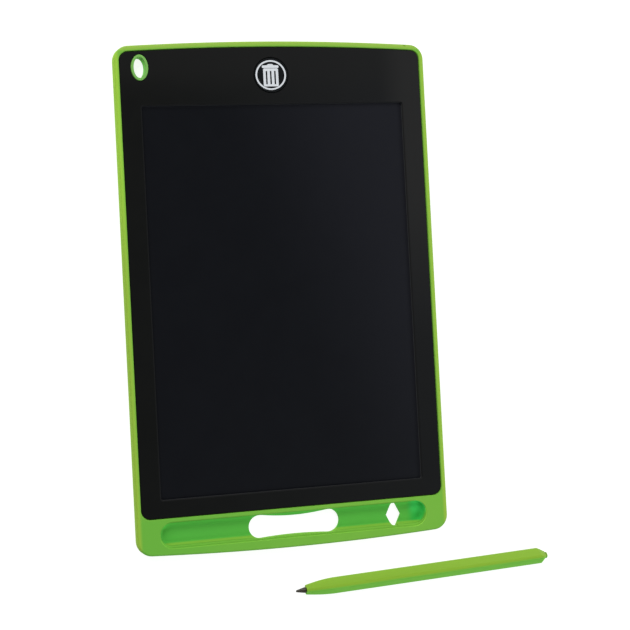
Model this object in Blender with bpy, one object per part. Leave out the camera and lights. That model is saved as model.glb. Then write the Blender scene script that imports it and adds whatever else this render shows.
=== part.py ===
"""LCD writing tablet with its stylus, modelled piece by piece.

The frame has +X to the tablet's right, +Y towards its erase button and +Z out of its screen.
The origin is the centre of the tablet's flat back. All lengths are in metres.
The stylus lies beside the tablet on the surface that the tablet rests on.
"""

import math

import bmesh
import bpy
from mathutils import Matrix, Vector

# Clearances and cutters
seat_gap = 0.0003
screw_gap = 0.0002
cutter_overrun = 0.001

# Outline of the tablet
body_width = 0.144
body_length = 0.226
end_bow = 0.0021
corner_radius = 0.0066
back_edge_radius = 0.0012
rim_edge_radius = 0.0009
rim_inner_bevel = 0.0004

# Walls of the rear housing
floor_wall = 0.0012
rim_width = 0.0022
head_rim_width = 0.0024
ledge_width = 0.0008
bar_length = 0.0175
floor_rib_height = 0.0007
floor_rib_width = 0.0008
floor_rib_rows = 6
floor_rib_columns = 3
locating_wall = 0.0008
locating_wall_rise = 0.0016
head_block_rise = 0.0005

# Screen stack, from the back to the front
plate_thickness = 0.0005
film_thickness = 0.0002
film_lap = 0.0025
film_head_lap = 0.0012
film_corner = 0.001
film_tail_ledge = 0.0016
clamp_rib_height = 0.0002
clamp_rib_width = 0.0012

# Front panel
panel_thickness = 0.001
panel_drop = 0.0003
panel_edge_radius = 0.00025
panel_corner_radius = 0.0039
window_side_margin = 0.009
window_foot_margin = 0.0078
window_head_margin = 0.0256
window_corner_radius = 0.0008
window_bevel = 0.0008

# Pen tray along the bottom bar
tray_end_margin = 0.0102
tray_offset = 0.00175
tray_width = 0.0114
tray_ledge_depth = 0.0009
tray_ledge_bevel = 0.0004
trough_width = 0.01
trough_inset = 0.0003
trough_floor = 0.0014
trough_fillet = 0.0018
dog_bone_half_length = 0.0211
dog_bone_lobe_radius = 0.00515
dog_bone_upper_rise = 0.0013
dog_bone_lower_rise = 0.00065
dog_bone_shift = 0.0001
hex_hole_from_end = 0.0147
hex_hole_width = 0.0071
hex_hole_height = 0.0103
hex_hole_flat = 0.002
core_wall = 0.0016
core_pocket_length = 0.0048
core_rib = 0.0012
core_corner = 0.0022
core_skin = 0.0014

# Lanyard eye in the top left corner
eye_from_side = 0.0113
eye_from_end = 0.0114
eye_half_width = 0.0026
eye_half_height = 0.0045
eye_rim = 0.00125
eye_bevel = 0.0003

# Pry notch in the top rim
notch_from_side = 0.009
notch_width = 0.0013
notch_depth = 0.0009
notch_height = 0.0008

# Erase button and its switch
button_shift = -0.0011
button_from_end = 0.0152
button_radius = 0.0078
button_skin = 0.0009
button_wall = 0.0011
button_edge_radius = 0.00025
button_flange = 0.0009
button_flange_thickness = 0.0004
button_travel = 0.00025
board_thickness = 0.0006
switch_width = 0.006
switch_height = 0.0007
switch_base = 0.00015
switch_well_radius = 0.0021
switch_corner = 0.0005
plunger_radius = 0.0016

# Main board and what is soldered to it
board_left_of_button = 0.043
board_right_of_button = 0.021
board_above_button = 0.0078
board_below_button = 0.0082
board_corner = 0.001
board_post_radius = 0.0019
board_screw_radius = 0.00055
board_screw_head_radius = 0.00125
board_screw_head_height = 0.0005
board_screw_bite = 0.0006
board_hole_radius = 0.0009
board_post_inset = 0.0026
driver_chip_length = 0.005
driver_chip_width = 0.0039
driver_chip_height = 0.0007
driver_lead_reach = 0.0009
driver_lead_width = 0.00045
driver_lead_thickness = 0.0002
driver_leads_a_side = 4
driver_chip_offset = 0.0135
inductor_radius = 0.0017
inductor_waist_radius = 0.0012
inductor_flange = 0.0002
inductor_height = 0.0008
inductor_offset = 0.0145
capacitor_length = 0.002
capacitor_width = 0.00125
capacitor_height = 0.0007
capacitor_cap = 0.00035
capacitor_cap_step = 0.00008
capacitor_pitch = 0.0032
flex_width = 0.007
flex_thickness = 0.0002
flex_landing = 0.0026
flex_run = 0.0012
flex_shift = 0.013

# Lock switch and its slider on the back
lock_from_button = 0.0345
lock_travel = 0.002
lock_plate_length = 0.0085
lock_plate_width = 0.0052
lock_plate_thickness = 0.0005
lock_plate_corner = 0.0012
lock_plate_sink = 0.0002
lock_groove_width = 0.0005
lock_groove_depth = 0.0002
lock_groove_pitch = 0.0011
lock_grooves = 4
lock_stem_length = 0.0028
lock_stem_width = 0.0024
lock_barb_reach = 0.0005
lock_barb_height = 0.0004
lock_pocket_size = 0.0016
lock_pocket_floor = 0.0009
lock_tip_size = 0.001
lock_tip_engagement = 0.0006
lock_head_length = 0.0024
lock_head_width = 0.0016
lock_head_height = 0.0003
lock_switch_length = 0.0086
lock_switch_width = 0.0036
lock_switch_height = 0.0008
lock_switch_roof = 0.0002
lock_block_wall = 0.0014

# Coin cell, its bay, contacts and door
cell_radius = 0.01
cell_thickness = 0.0016
cell_step = 0.0002
cell_rim = 0.0012
door_from_board = 0.0013
cell_above_button = 0.0003
bay_gap = 0.0004
bay_wall = 0.0009
bay_notch_width = 0.006
contact_thickness = 0.0002
contact_pad_radius = 0.004
contact_width = 0.0036
contact_landing = 0.0022
contact_dimple_radius = 0.0012
contact_dimple_depth = 0.00012
contact_offset = 0.0042
door_thickness = 0.0007
door_hinge_lap = 0.0044
door_screw_lap = 0.0074
door_side_lap = 0.0004
door_corner = 0.002
door_spigot_height = 0.0004
door_spigot_wall = 0.001
door_block_wall = 0.0016
tongue_length = 0.0008
tongue_width = 0.006
tongue_thickness = 0.00035
tongue_rise = 0.00005
tongue_root = 0.0012
door_screw_from_edge = 0.0035
door_screw_radius = 0.00075
door_screw_head_radius = 0.0018
door_screw_head_height = 0.0006
door_screw_head_sink = 0.0001
door_screw_length = 0.0024
door_ear_radius = 0.0026
door_ear_web = 0.0005
turret_wall = 0.001
screw_boss_radius = 0.0022
screw_boss_cap = 0.0002
screw_slot_width = 0.0004
screw_slot_depth = 0.0003

# Stylus
pen_end_gap = 0.0003
pen_side = 0.0047
pen_corner_radius = 0.00135
pen_x = 0.0602
pen_from_body = 0.01775
pen_turn = math.radians(2.2)
nib_reach = 0.0048
nib_base_radius = 0.00135
nib_tip_radius = 0.00052
nib_shank_radius = 0.0008
nib_shank_length = 0.008
nose_radius = 0.0022
nose_length = 0.0143
tail_length = 0.00265
tail_radius = 0.0017
nub_radius = 0.0014
nub_reach = 0.0009
nub_edge_radius = 0.0004
nub_shank_length = 0.006
barrel_bore_radius = 0.0011

# Counts of facets
corner_steps = 7
bow_steps = 16
edge_steps = 3
circle_steps = 48
small_circle_steps = 20

# Shares that shape the stylus: how far along the nose and the tail, and how much of the full section is left
nose_shares = ((0.0, 0.0), (0.12, 0.3), (0.35, 0.62), (0.65, 0.87), (1.0, 1.0))
tail_shares = ((0.0, 1.0), (0.15, 0.93), (1.0, 0.0))
tail_slant_share = 0.26
tip_shares = ((0.0, 1.0), (0.5, 0.866), (0.866, 0.5), (1.0, 0.0))

# Heights of the screen stack, and the thickness of the tablet that follows from them
plate_low = floor_wall + floor_rib_height + seat_gap
rear_film_low = plate_low + plate_thickness + seat_gap
front_film_low = rear_film_low + film_thickness + seat_gap
clamp_rib_low = front_film_low + film_thickness + seat_gap
panel_low = clamp_rib_low + clamp_rib_height
panel_high = panel_low + panel_thickness
body_thickness = panel_high + panel_drop
ledge_height = panel_low - seat_gap
rib_root = floor_wall / 2

# Heights in the head compartment
head_block_high = floor_wall + head_block_rise
board_low = head_block_high + seat_gap
board_high = board_low + board_thickness
parts_low = board_high + seat_gap
button_under = panel_high - button_skin
flange_high = panel_low - seat_gap
flange_low = flange_high - button_flange_thickness

# Plan of the tablet
half_width = body_width / 2
half_length = body_length / 2
bow_radius = (half_width ** 2 + end_bow ** 2) / (2 * end_bow)
pocket_foot = -half_length + bar_length
pocket_half_width = half_width - rim_width
pocket_head = half_length - head_rim_width
pocket_bow_radius = bow_radius - head_rim_width
panel_foot = pocket_foot + seat_gap
panel_half_width = pocket_half_width - seat_gap
panel_head = pocket_head - seat_gap
window_half_width = panel_half_width - window_side_margin
window_foot = panel_foot + window_foot_margin
window_head = panel_head - window_head_margin
film_half_width = window_half_width + film_lap
film_foot = window_foot - film_lap
film_head = window_head + film_head_lap
film_half_height = (film_head - film_foot) / 2
film_y = (film_head + film_foot) / 2

# Plan of the tray
tray_half_length = half_width - tray_end_margin
tray_y = pocket_foot - tray_offset - tray_width / 2
trough_y = tray_y + (tray_width - trough_width) / 2 - trough_inset
pen_length = 2 * (tray_half_length - pen_end_gap)
pen_y = -half_length - pen_from_body

# Plan of the head compartment
button_x = button_shift
button_y = half_length - button_from_end
eye_x = -half_width + eye_from_side
eye_y = half_length - eye_from_end
lock_x = button_x - lock_from_button
lock_y = button_y
bay_radius = cell_radius + bay_gap
cell_x = button_x + board_right_of_button + door_from_board + door_hinge_lap + bay_radius
cell_y = button_y + cell_above_button

# Heights and plan of the battery door
door_high = door_thickness
door_lip_low = door_high + seat_gap
spigot_high = door_high + door_spigot_height
cell_low = spigot_high + seat_gap
cell_high = cell_low + cell_thickness
contact_low = cell_high + seat_gap
door_left = cell_x - bay_radius - door_hinge_lap
door_right = cell_x + bay_radius + door_screw_lap
door_half_height = bay_radius + door_side_lap
door_screw_x = door_right - door_screw_from_edge
door_hinge_height = door_high + tongue_rise + tongue_thickness / 2
door_ear_high = door_screw_head_sink + door_screw_head_height + seat_gap + door_ear_web


def arc(x, y, radius, start, end, steps):
    """Points of an arc from one angle to another, both ends included."""
    turn = (end - start) / steps
    return [(x + radius * math.cos(start + turn * i), y + radius * math.sin(start + turn * i))
            for i in range(steps + 1)]


def plate_end(half, apex, bow, corner):
    """Right-to-left points of a plate's upper end: a fillet, the edge and a fillet."""
    if bow is None:
        side_y = apex - corner
        sweep = math.pi / 2
        edge = []
    else:
        centre_y = apex - bow
        side_y = centre_y + math.sqrt((bow - corner) ** 2 - (half - corner) ** 2)
        sweep = math.atan2(side_y - centre_y, half - corner)
        edge = arc(0, centre_y, bow, sweep, math.pi - sweep, bow_steps)[1:-1]
    right = arc(half - corner, side_y, corner, 0, sweep, corner_steps)
    left = arc(corner - half, side_y, corner, math.pi - sweep, math.pi, corner_steps)
    return right + edge + left


def plate_ring(half, head, head_bow, foot, foot_bow, corner):
    """Outline maker for a plate with straight sides and bowed or straight ends."""
    def ring(inset=0):
        fillet = corner - inset
        upper = plate_end(half - inset, head - inset, head_bow and head_bow - inset, fillet)
        lower = plate_end(half - inset, -foot - inset, foot_bow and foot_bow - inset, fillet)
        return upper + [(-x, -y) for x, y in lower]
    return ring


def rectangle_ring(x, y, half_x, half_y, corner):
    """Outline maker for a rectangle with rounded corners."""
    def ring(inset=0):
        fillet = max(corner - inset, 0)
        dx = half_x - inset - fillet
        dy = half_y - inset - fillet
        quarter = math.pi / 2
        points = []
        for i, (sx, sy) in enumerate(((1, 1), (-1, 1), (-1, -1), (1, -1))):
            points += arc(x + sx * dx, y + sy * dy, fillet, i * quarter, (i + 1) * quarter, corner_steps)
        return points
    return ring


def box_ring(x, y, half_x, half_y):
    """Outline maker for a sharp rectangle."""
    def ring(inset=0):
        dx = half_x - inset
        dy = half_y - inset
        return [(x + dx, y + dy), (x - dx, y + dy), (x - dx, y - dy), (x + dx, y - dy)]
    return ring


def span_ring(x_low, x_high, y_low, y_high):
    """Outline maker for a sharp rectangle between two limits in X and two in Y."""
    return box_ring((x_low + x_high) / 2, (y_low + y_high) / 2, (x_high - x_low) / 2, (y_high - y_low) / 2)


def ellipse_ring(x, y, half_x, half_y, steps=circle_steps):
    """Outline maker for an ellipse, or for a circle when both halves are equal."""
    def ring(inset=0):
        turn = 2 * math.pi / steps
        return [(x + (half_x - inset) * math.cos(turn * i), y + (half_y - inset) * math.sin(turn * i))
                for i in range(steps)]
    return ring


def circle_ring(x, y, radius, steps=small_circle_steps):
    """Outline maker for a circle."""
    return ellipse_ring(x, y, radius, radius, steps)


def stadium_ring(x, y, half_length_x, radius):
    """Outline maker for a slot with two round ends."""
    def ring(inset=0):
        straight = half_length_x - radius
        half_turn = math.pi / 2
        steps = 2 * corner_steps
        right = arc(x + straight, y, radius - inset, -half_turn, half_turn, steps)
        left = arc(x - straight, y, radius - inset, half_turn, 3 * half_turn, steps)
        return right + left
    return ring


def waist_arc(lobe_x, rise):
    """Radius, distance from the hole's axis and lean of a waist that rises this far above its lobes' edge."""
    radius = (lobe_x ** 2 + rise ** 2) / (2 * rise) - dog_bone_lobe_radius
    reach = dog_bone_lobe_radius - rise + radius
    return radius, reach, math.atan2(reach, lobe_x)


def dog_bone_ring(x, y):
    """Outline maker for the finger hole: two round lobes joined by a waist that is deeper above."""
    lobe_x = dog_bone_half_length - dog_bone_lobe_radius
    upper_radius, upper_y, upper_lean = waist_arc(lobe_x, dog_bone_upper_rise)
    lower_radius, lower_y, lower_lean = waist_arc(lobe_x, dog_bone_lower_rise)

    def ring(inset=0):
        lobe = dog_bone_lobe_radius - inset
        right = arc(x + lobe_x, y, lobe, lower_lean - math.pi, math.pi - upper_lean, 2 * corner_steps)
        upper = arc(x, y + upper_y, upper_radius + inset, -upper_lean, upper_lean - math.pi, corner_steps)
        left = arc(x - lobe_x, y, lobe, upper_lean, 2 * math.pi - lower_lean, 2 * corner_steps)
        lower = arc(x, y - lower_y, lower_radius + inset, math.pi - lower_lean, lower_lean, corner_steps)
        return right + upper[1:-1] + left + lower[1:-1]
    return ring


def hexagon_ring(x, y, width, height, flat):
    """Outline maker for a tall hexagon with flats at its top and bottom."""
    def ring(inset=0):
        dx = width / 2 - inset
        dy = height / 2 - inset
        top = flat / 2
        return [(x + dx, y), (x + top, y + dy), (x - top, y + dy),
                (x - dx, y), (x - top, y - dy), (x + top, y - dy)]
    return ring


def rounded_levels(low, high, low_radius, high_radius):
    """Heights and insets of an upright solid whose lower and upper edges are rounded."""
    quarter = math.pi / 2
    turns = [quarter * i / edge_steps for i in range(edge_steps + 1)]
    levels = [(low, 0)]
    if low_radius:
        levels = [(low + low_radius * (1 - math.cos(a)), low_radius * (1 - math.sin(a))) for a in turns]
    if high_radius:
        return levels + [(high - high_radius * (1 - math.sin(a)), high_radius * (1 - math.cos(a)))
                         for a in turns]
    return levels + [(high, 0)]


def flared_levels(low, high, low_flare, high_flare):
    """Heights and insets of a through cutter that opens out at both faces."""
    levels = [(low - cutter_overrun, -low_flare)]
    if low_flare:
        levels += [(low, -low_flare), (low + low_flare, 0)]
    if high_flare:
        levels += [(high - high_flare, 0), (high, -high_flare)]
    return levels + [(high + cutter_overrun, -high_flare)]


def material(name, colour, roughness, metallic=0.0):
    """A Principled material."""
    made = bpy.data.materials.new(name)
    made.use_nodes = True
    shader = made.node_tree.nodes["Principled BSDF"]
    shader.inputs["Base Color"].default_value = (*colour, 1)
    shader.inputs["Roughness"].default_value = roughness
    shader.inputs["Metallic"].default_value = metallic
    made.diffuse_color = (*colour, 1)
    return made


def object_from(name, mesh_builder, finish=None):
    """A new object whose mesh is what the bmesh builder holds."""
    bmesh.ops.recalc_face_normals(mesh_builder, faces=mesh_builder.faces)
    mesh = bpy.data.meshes.new(name)
    mesh_builder.to_mesh(mesh)
    mesh_builder.free()
    made = bpy.data.objects.new(name, mesh)
    bpy.context.scene.collection.objects.link(made)
    if finish:
        mesh.materials.append(finish)
        mesh.shade_smooth()
        mesh.set_sharp_from_angle(angle=math.radians(32))
    return made


def loft(name, loops, finish=None):
    """A closed solid through loops of equal counts, capped at both ends."""
    builder = bmesh.new()
    rows = [[builder.verts.new(point) for point in loop] for loop in loops]
    for low, high in zip(rows, rows[1:]):
        for i in range(len(low)):
            j = (i + 1) % len(low)
            builder.faces.new((low[i], low[j], high[j], high[i]))
    builder.faces.new(list(reversed(rows[0])))
    builder.faces.new(rows[-1])
    bmesh.ops.remove_doubles(builder, verts=builder.verts, dist=seat_gap / 300)
    return object_from(name, builder, finish)


def upright(name, ring, levels, finish=None):
    """A solid that stands on its outline, one loop at each height and inset."""
    return loft(name, [[(x, y, z) for x, y in ring(inset)] for z, inset in levels], finish)


def frame_solid(name, outer, inner, low, high, finish=None):
    """A flat frame between two outlines of equal counts."""
    builder = bmesh.new()
    corners = []
    for outline in (outer(), inner()):
        for z in (low, high):
            corners.append([builder.verts.new((x, y, z)) for x, y in outline])
    outer_low, outer_high, inner_low, inner_high = corners
    walls = ((outer_low, outer_high), (outer_high, inner_high), (inner_high, inner_low), (inner_low, outer_low))
    for a, b in walls:
        for i in range(len(a)):
            j = (i + 1) % len(a)
            builder.faces.new((a[i], a[j], b[j], b[i]))
    return object_from(name, builder, finish)


def turned(name, profile, x, y, finish=None, steps=circle_steps):
    """A solid of revolution on an upright axis, from a profile of (radius, height) points."""
    loops = []
    for radius, z in profile:
        turn = 2 * math.pi / steps
        loops.append([(x + radius * math.cos(turn * i), y + radius * math.sin(turn * i), z)
                      for i in range(steps)])
    return loft(name, loops, finish)


def strip(name, path, thickness, y_low, y_high, finish=None):
    """A bent flat strip: a path in X and Z, thickened upwards, as wide as its two Y limits."""
    side = [(x, z) for x, z in path] + [(x, z + thickness) for x, z in reversed(path)]
    return loft(name, [[(x, y, z) for x, z in side] for y in (y_low, y_high)], finish)


def cut(target, tool):
    """Take the tool's shape out of the target."""
    combine(target, tool, "DIFFERENCE")


def fuse(target, tool):
    """Add the tool's shape to the target as one body."""
    combine(target, tool, "UNION")


def combine(target, tool, operation):
    """A Boolean modifier whose operand is kept out of the model."""
    tool.hide_render = True
    tool.display_type = "WIRE"
    step = target.modifiers.new(tool.name, "BOOLEAN")
    step.operation = operation
    step.solver = "EXACT"
    step.object = tool


def set_origin(target, point):
    """Move an object's origin to a point and leave its shape where it is."""
    target.data.transform(Matrix.Translation(-Vector(point)))
    target.location = point


def clear_scene():
    """Remove every object that the file opened with."""
    for old in list(bpy.data.objects):
        bpy.data.objects.remove(old, do_unlink=True)


def body_ring():
    """Outline of the whole tablet."""
    return plate_ring(half_width, half_length, bow_radius, -half_length, bow_radius, corner_radius)


def pocket_ring():
    """Outline of the pocket that takes the front panel."""
    return plate_ring(pocket_half_width, pocket_head, pocket_bow_radius, pocket_foot, None,
                      panel_corner_radius + seat_gap)


def screen_ring(extra=0):
    """Outline of the films and their plate, grown by an extra margin."""
    return rectangle_ring(0, film_y, film_half_width + extra, film_half_height + extra, film_corner + extra)


def window_ring():
    """Outline of the window in the front panel."""
    half_height = (window_head - window_foot) / 2
    return rectangle_ring(0, (window_head + window_foot) / 2, window_half_width, half_height,
                          window_corner_radius)


def eye_ring(extra=0):
    """Outline of the lanyard eye, grown by an extra margin."""
    return ellipse_ring(eye_x, eye_y, eye_half_width + extra, eye_half_height + extra)


def build_rear_housing(finish):
    """The green shell: floor, rim, bottom bar with the pen tray, eye, bay and bosses."""
    levels = rounded_levels(0, body_thickness, back_edge_radius, rim_edge_radius)
    housing = upright("rear_housing", body_ring(), levels, finish)
    mouth = flared_levels(ledge_height, body_thickness, 0, rim_inner_bevel)
    mouth[0] = (ledge_height, 0)
    cut(housing, upright("panel_pocket", pocket_ring(), mouth))
    cavity_levels = [(floor_wall, ledge_width), (ledge_height + seat_gap, ledge_width)]
    cut(housing, upright("cavity", pocket_ring(), cavity_levels))
    add_screen_seat(housing)
    add_lanyard_eye(housing)
    add_board_posts(housing)
    add_battery_bay(housing)
    add_lock_recess(housing)
    core_bar_ends(housing)
    cut_pen_tray(housing)
    cut_pry_notch(housing)
    return housing


def add_screen_seat(housing):
    """Low ribs that carry the screen's plate, inside a wall that locates it."""
    seat = frame_solid("screen_locating_wall", screen_ring(seat_gap + locating_wall), screen_ring(seat_gap),
                       rib_root, floor_wall + locating_wall_rise)
    fuse(housing, seat)
    rib_high = floor_wall + floor_rib_height
    reach_x = film_half_width + locating_wall
    reach_y = film_half_height + locating_wall
    for i in range(floor_rib_rows):
        y = film_foot + (i + 1) * 2 * film_half_height / (floor_rib_rows + 1)
        ring = box_ring(0, y, reach_x, floor_rib_width / 2)
        fuse(housing, upright(f"floor_rib_row_{i + 1}", ring, [(rib_root, 0), (rib_high, 0)]))
    for i in range(floor_rib_columns):
        x = -film_half_width + (i + 1) * 2 * film_half_width / (floor_rib_columns + 1)
        ring = box_ring(x, film_y, floor_rib_width / 2, reach_y)
        fuse(housing, upright(f"floor_rib_column_{i + 1}", ring, [(rib_root, 0), (rib_high, 0)]))


def add_lanyard_eye(housing):
    """An oval tube that passes through the front panel, with a flared hole."""
    levels = [(rib_root, 0), (body_thickness - eye_bevel, 0), (body_thickness, eye_bevel)]
    fuse(housing, upright("eye_tube", eye_ring(eye_rim), levels))
    hole = flared_levels(0, body_thickness, eye_bevel, eye_bevel)
    cut(housing, upright("eye_hole", eye_ring(), hole))


def board_plan():
    """Left, right, lower and upper limits of the main board."""
    return (button_x - board_left_of_button, button_x + board_right_of_button,
            button_y - board_below_button, button_y + board_above_button)


def board_screw_places():
    """Where the two board screws stand: left of the button and at the board's right end."""
    right = button_x + board_right_of_button
    high = button_y + board_above_button
    return (("left", button_x - board_right_of_button, high - board_post_inset),
            ("right", right - board_post_inset, button_y))


def add_board_posts(housing):
    """Two screw posts under the main board."""
    for side, x, y in board_screw_places():
        post = upright(f"board_post_{side}", circle_ring(x, y, board_post_radius),
                       [(rib_root, 0), (head_block_high, 0)])
        fuse(housing, post)
        pilot_low = head_block_high - board_screw_bite - seat_gap
        pilot = upright(f"board_pilot_{side}", circle_ring(x, y, board_screw_radius + screw_gap),
                        [(pilot_low, 0), (head_block_high + cutter_overrun, 0)])
        cut(housing, pilot)


def door_ring(extra=0):
    """Outline of the battery door, grown by an extra margin."""
    return rectangle_ring((door_left + door_right) / 2, cell_y, (door_right - door_left) / 2 + extra,
                          door_half_height + extra, door_corner + extra)


def add_battery_bay(housing):
    """The cell's round bay, the door's seat round it, and the door screw's turret and boss."""
    block = door_ring(seat_gap + door_block_wall)
    fuse(housing, upright("bay_block", block, [(rib_root, 0), (head_block_high, 0)]))
    wall_high = cell_high - cell_step
    wall = circle_ring(cell_x, cell_y, bay_radius + bay_wall, circle_steps)
    fuse(housing, upright("bay_tube", wall, [(rib_root, 0), (wall_high, 0)]))
    turret_high = door_ear_high + seat_gap + turret_wall
    turret = circle_ring(door_screw_x, cell_y, door_ear_radius + seat_gap + turret_wall)
    fuse(housing, upright("screw_turret", turret, [(rib_root, 0), (turret_high, 0)]))
    boss_high = door_screw_head_sink + door_screw_head_height + door_screw_length + seat_gap + screw_boss_cap
    boss = circle_ring(door_screw_x, cell_y, screw_boss_radius)
    fuse(housing, upright("screw_boss", boss, [(rib_root, 0), (boss_high, 0)]))
    recess = upright("door_recess", door_ring(seat_gap), [(-cutter_overrun, 0), (door_lip_low, 0)])
    cut(housing, recess)
    bay = circle_ring(cell_x, cell_y, bay_radius, circle_steps)
    cut(housing, upright("bay_hole", bay, [(-cutter_overrun, 0), (wall_high + cutter_overrun, 0)]))
    ear = circle_ring(door_screw_x, cell_y, door_ear_radius + seat_gap)
    cut(housing, upright("ear_recess", ear, [(-cutter_overrun, 0), (door_ear_high + seat_gap, 0)]))
    pilot = circle_ring(door_screw_x, cell_y, door_screw_radius + screw_gap)
    cut(housing, upright("door_screw_pilot", pilot, [(-cutter_overrun, 0), (boss_high - screw_boss_cap, 0)]))
    slot_reach = tongue_width / 2 + seat_gap
    slot = span_ring(door_left - tongue_length - seat_gap, door_left + tongue_root + 2 * seat_gap,
                     cell_y - slot_reach, cell_y + slot_reach)
    tongue_low = door_high + tongue_rise
    slot_levels = [(tongue_low - seat_gap, 0), (tongue_low + tongue_thickness + seat_gap, 0)]
    cut(housing, upright("tongue_slot", slot, slot_levels))
    notch_y = cell_y - contact_offset
    notch = span_ring(cell_x - bay_radius - 2 * bay_wall, cell_x - bay_radius + bay_wall,
                      notch_y - bay_notch_width / 2, notch_y + bay_notch_width / 2)
    cut(housing, upright("contact_notch", notch, [(head_block_high, 0), (wall_high + cutter_overrun, 0)]))


def lock_plate_ring(extra=0):
    """Outline of the lock slider's plate, grown by an extra margin."""
    return rectangle_ring(lock_x, lock_y, lock_plate_length / 2 + extra, lock_plate_width / 2 + extra,
                          lock_plate_corner + extra)


def lock_sweep_ring(half_x, half_y, extra):
    """Outline of the space that something of the given half sizes sweeps in the lock's travel."""
    return rectangle_ring(lock_x + lock_travel / 2, lock_y, half_x + lock_travel / 2 + extra, half_y + extra,
                          lock_plate_corner)


def lock_plate_high():
    """Height of the inner face of the slider's plate."""
    return lock_plate_sink + lock_plate_thickness


def lock_barb_half_width():
    """How far the stem's barbs reach to either side, past the edges of the housing's slot."""
    return lock_stem_width / 2 + seat_gap + lock_barb_reach


def add_lock_recess(housing):
    """A shallow recess on the back for the lock slider, with a slot for its stem."""
    recess_high = lock_plate_high() + seat_gap
    half_x = lock_plate_length / 2
    half_y = lock_plate_width / 2
    block = lock_sweep_ring(half_x, half_y, seat_gap + lock_block_wall)
    fuse(housing, upright("lock_block", block, [(rib_root, 0), (head_block_high, 0)]))
    recess = lock_sweep_ring(half_x, half_y, seat_gap)
    cut(housing, upright("lock_recess", recess, [(-cutter_overrun, 0), (recess_high, 0)]))
    slot = box_ring(lock_x + lock_travel / 2, lock_y, (lock_stem_length + lock_travel) / 2 + seat_gap,
                    lock_stem_width / 2 + seat_gap)
    cut(housing, upright("lock_slot", slot, [(-cutter_overrun, 0), (head_block_high + cutter_overrun, 0)]))


def tray_ring():
    """Outline of the pen tray where it meets the front of the bar."""
    return stadium_ring(0, tray_y, tray_half_length, tray_width / 2)


def cut_pen_tray(housing):
    """A shallow recess, the deeper trough in it and the two holes through the trough's floor."""
    shelf = body_thickness - tray_ledge_depth
    mouth = flared_levels(shelf, body_thickness, 0, tray_ledge_bevel)
    mouth[0] = (shelf, 0)
    cut(housing, upright("tray_recess", tray_ring(), mouth))
    trough = stadium_ring(0, trough_y, tray_half_length - trough_inset, trough_width / 2)
    levels = rounded_levels(trough_floor, body_thickness + cutter_overrun, trough_fillet, 0)
    cut(housing, upright("tray_trough", trough, levels))
    through = flared_levels(0, body_thickness, 0, 0)
    finger_hole = dog_bone_ring(0, tray_y - dog_bone_shift)
    cut(housing, upright("finger_hole", finger_hole, through))
    hex_x = tray_half_length - hex_hole_from_end
    hex_hole = hexagon_ring(hex_x, tray_y - dog_bone_shift, hex_hole_width, hex_hole_height, hex_hole_flat)
    cut(housing, upright("hex_hole", hex_hole, through))


def core_bar_ends(housing):
    """Pockets under the thick ends of the bottom bar, two a side with a rib between them."""
    inner = tray_half_length + core_wall
    outer = half_width - core_wall
    half_x = (outer - inner) / 2
    half_y = core_pocket_length / 2
    for side, sign in (("left", -1), ("right", 1)):
        for row, step in (("upper", 1), ("lower", -1)):
            x = sign * (inner + outer) / 2
            y = tray_y + step * (half_y + core_rib / 2)
            ring = rectangle_ring(x, y, half_x, half_y, core_corner)
            levels = [(-cutter_overrun, 0), (body_thickness - core_skin, 0)]
            cut(housing, upright(f"core_{side}_{row}", ring, levels))


def cut_pry_notch(housing):
    """A small slanting notch across the outer edge of the top rim, near its right corner."""
    x = half_width - notch_from_side
    y = bow_edge(x)
    low = body_thickness - notch_height
    high = body_thickness + cutter_overrun
    base = [(x - notch_width / 2, y - notch_depth), (x + notch_width / 2, y - notch_depth),
            (x + notch_width, y + cutter_overrun), (x, y + cutter_overrun)]
    cut(housing, loft("pry_notch", [[(px, py, z) for px, py in base] for z in (low, high)]))


def bow_edge(x):
    """Height in Y of the tablet's top edge at a given X."""
    return half_length - bow_radius + math.sqrt(bow_radius ** 2 - x ** 2)


def build_front_panel(finish):
    """The black plate with its window, the holes for the eye and the button, and a clamping rib."""
    ring = plate_ring(panel_half_width, panel_head, pocket_bow_radius - seat_gap, panel_foot, None,
                      panel_corner_radius)
    panel = upright("front_panel", ring, rounded_levels(panel_low, panel_high, 0, panel_edge_radius), finish)
    rib = frame_solid("clamp_rib", offset_ring(window_ring(), clamp_rib_width), window_ring(),
                      clamp_rib_low, panel_low + clamp_rib_height)
    fuse(panel, rib)
    window = flared_levels(clamp_rib_low, panel_high, 0, window_bevel)
    cut(panel, upright("window", window_ring(), window))
    through = flared_levels(panel_low, panel_high, 0, 0)
    cut(panel, upright("panel_eye_hole", eye_ring(eye_rim + seat_gap), through))
    button_hole = circle_ring(button_x, button_y, button_radius + seat_gap, circle_steps)
    cut(panel, upright("button_hole", button_hole, through))
    return panel


def offset_ring(ring, extra):
    """An outline maker grown by an extra margin."""
    return lambda inset=0: ring(inset - extra)


def build_screen(plate_finish, rear_finish, front_finish):
    """The stiff plate and the two films of the pressure-sensitive screen."""
    plate = upright("support_plate", screen_ring(), [(plate_low, 0), (plate_low + plate_thickness, 0)],
                    plate_finish)
    rear = upright("lcd_rear_film", screen_ring(), [(rear_film_low, 0), (rear_film_low + film_thickness, 0)],
                   rear_finish)
    ledge = box_ring(button_x + flex_shift, film_head, flex_width / 2 + film_tail_ledge, film_tail_ledge)
    cut(rear, upright("film_ledge", ledge, flared_levels(rear_film_low, rear_film_low + film_thickness, 0, 0)))
    front_levels = [(front_film_low, 0), (front_film_low + film_thickness, 0)]
    front = upright("lcd_front_film", screen_ring(), front_levels, front_finish)
    return plate, rear, front


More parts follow.
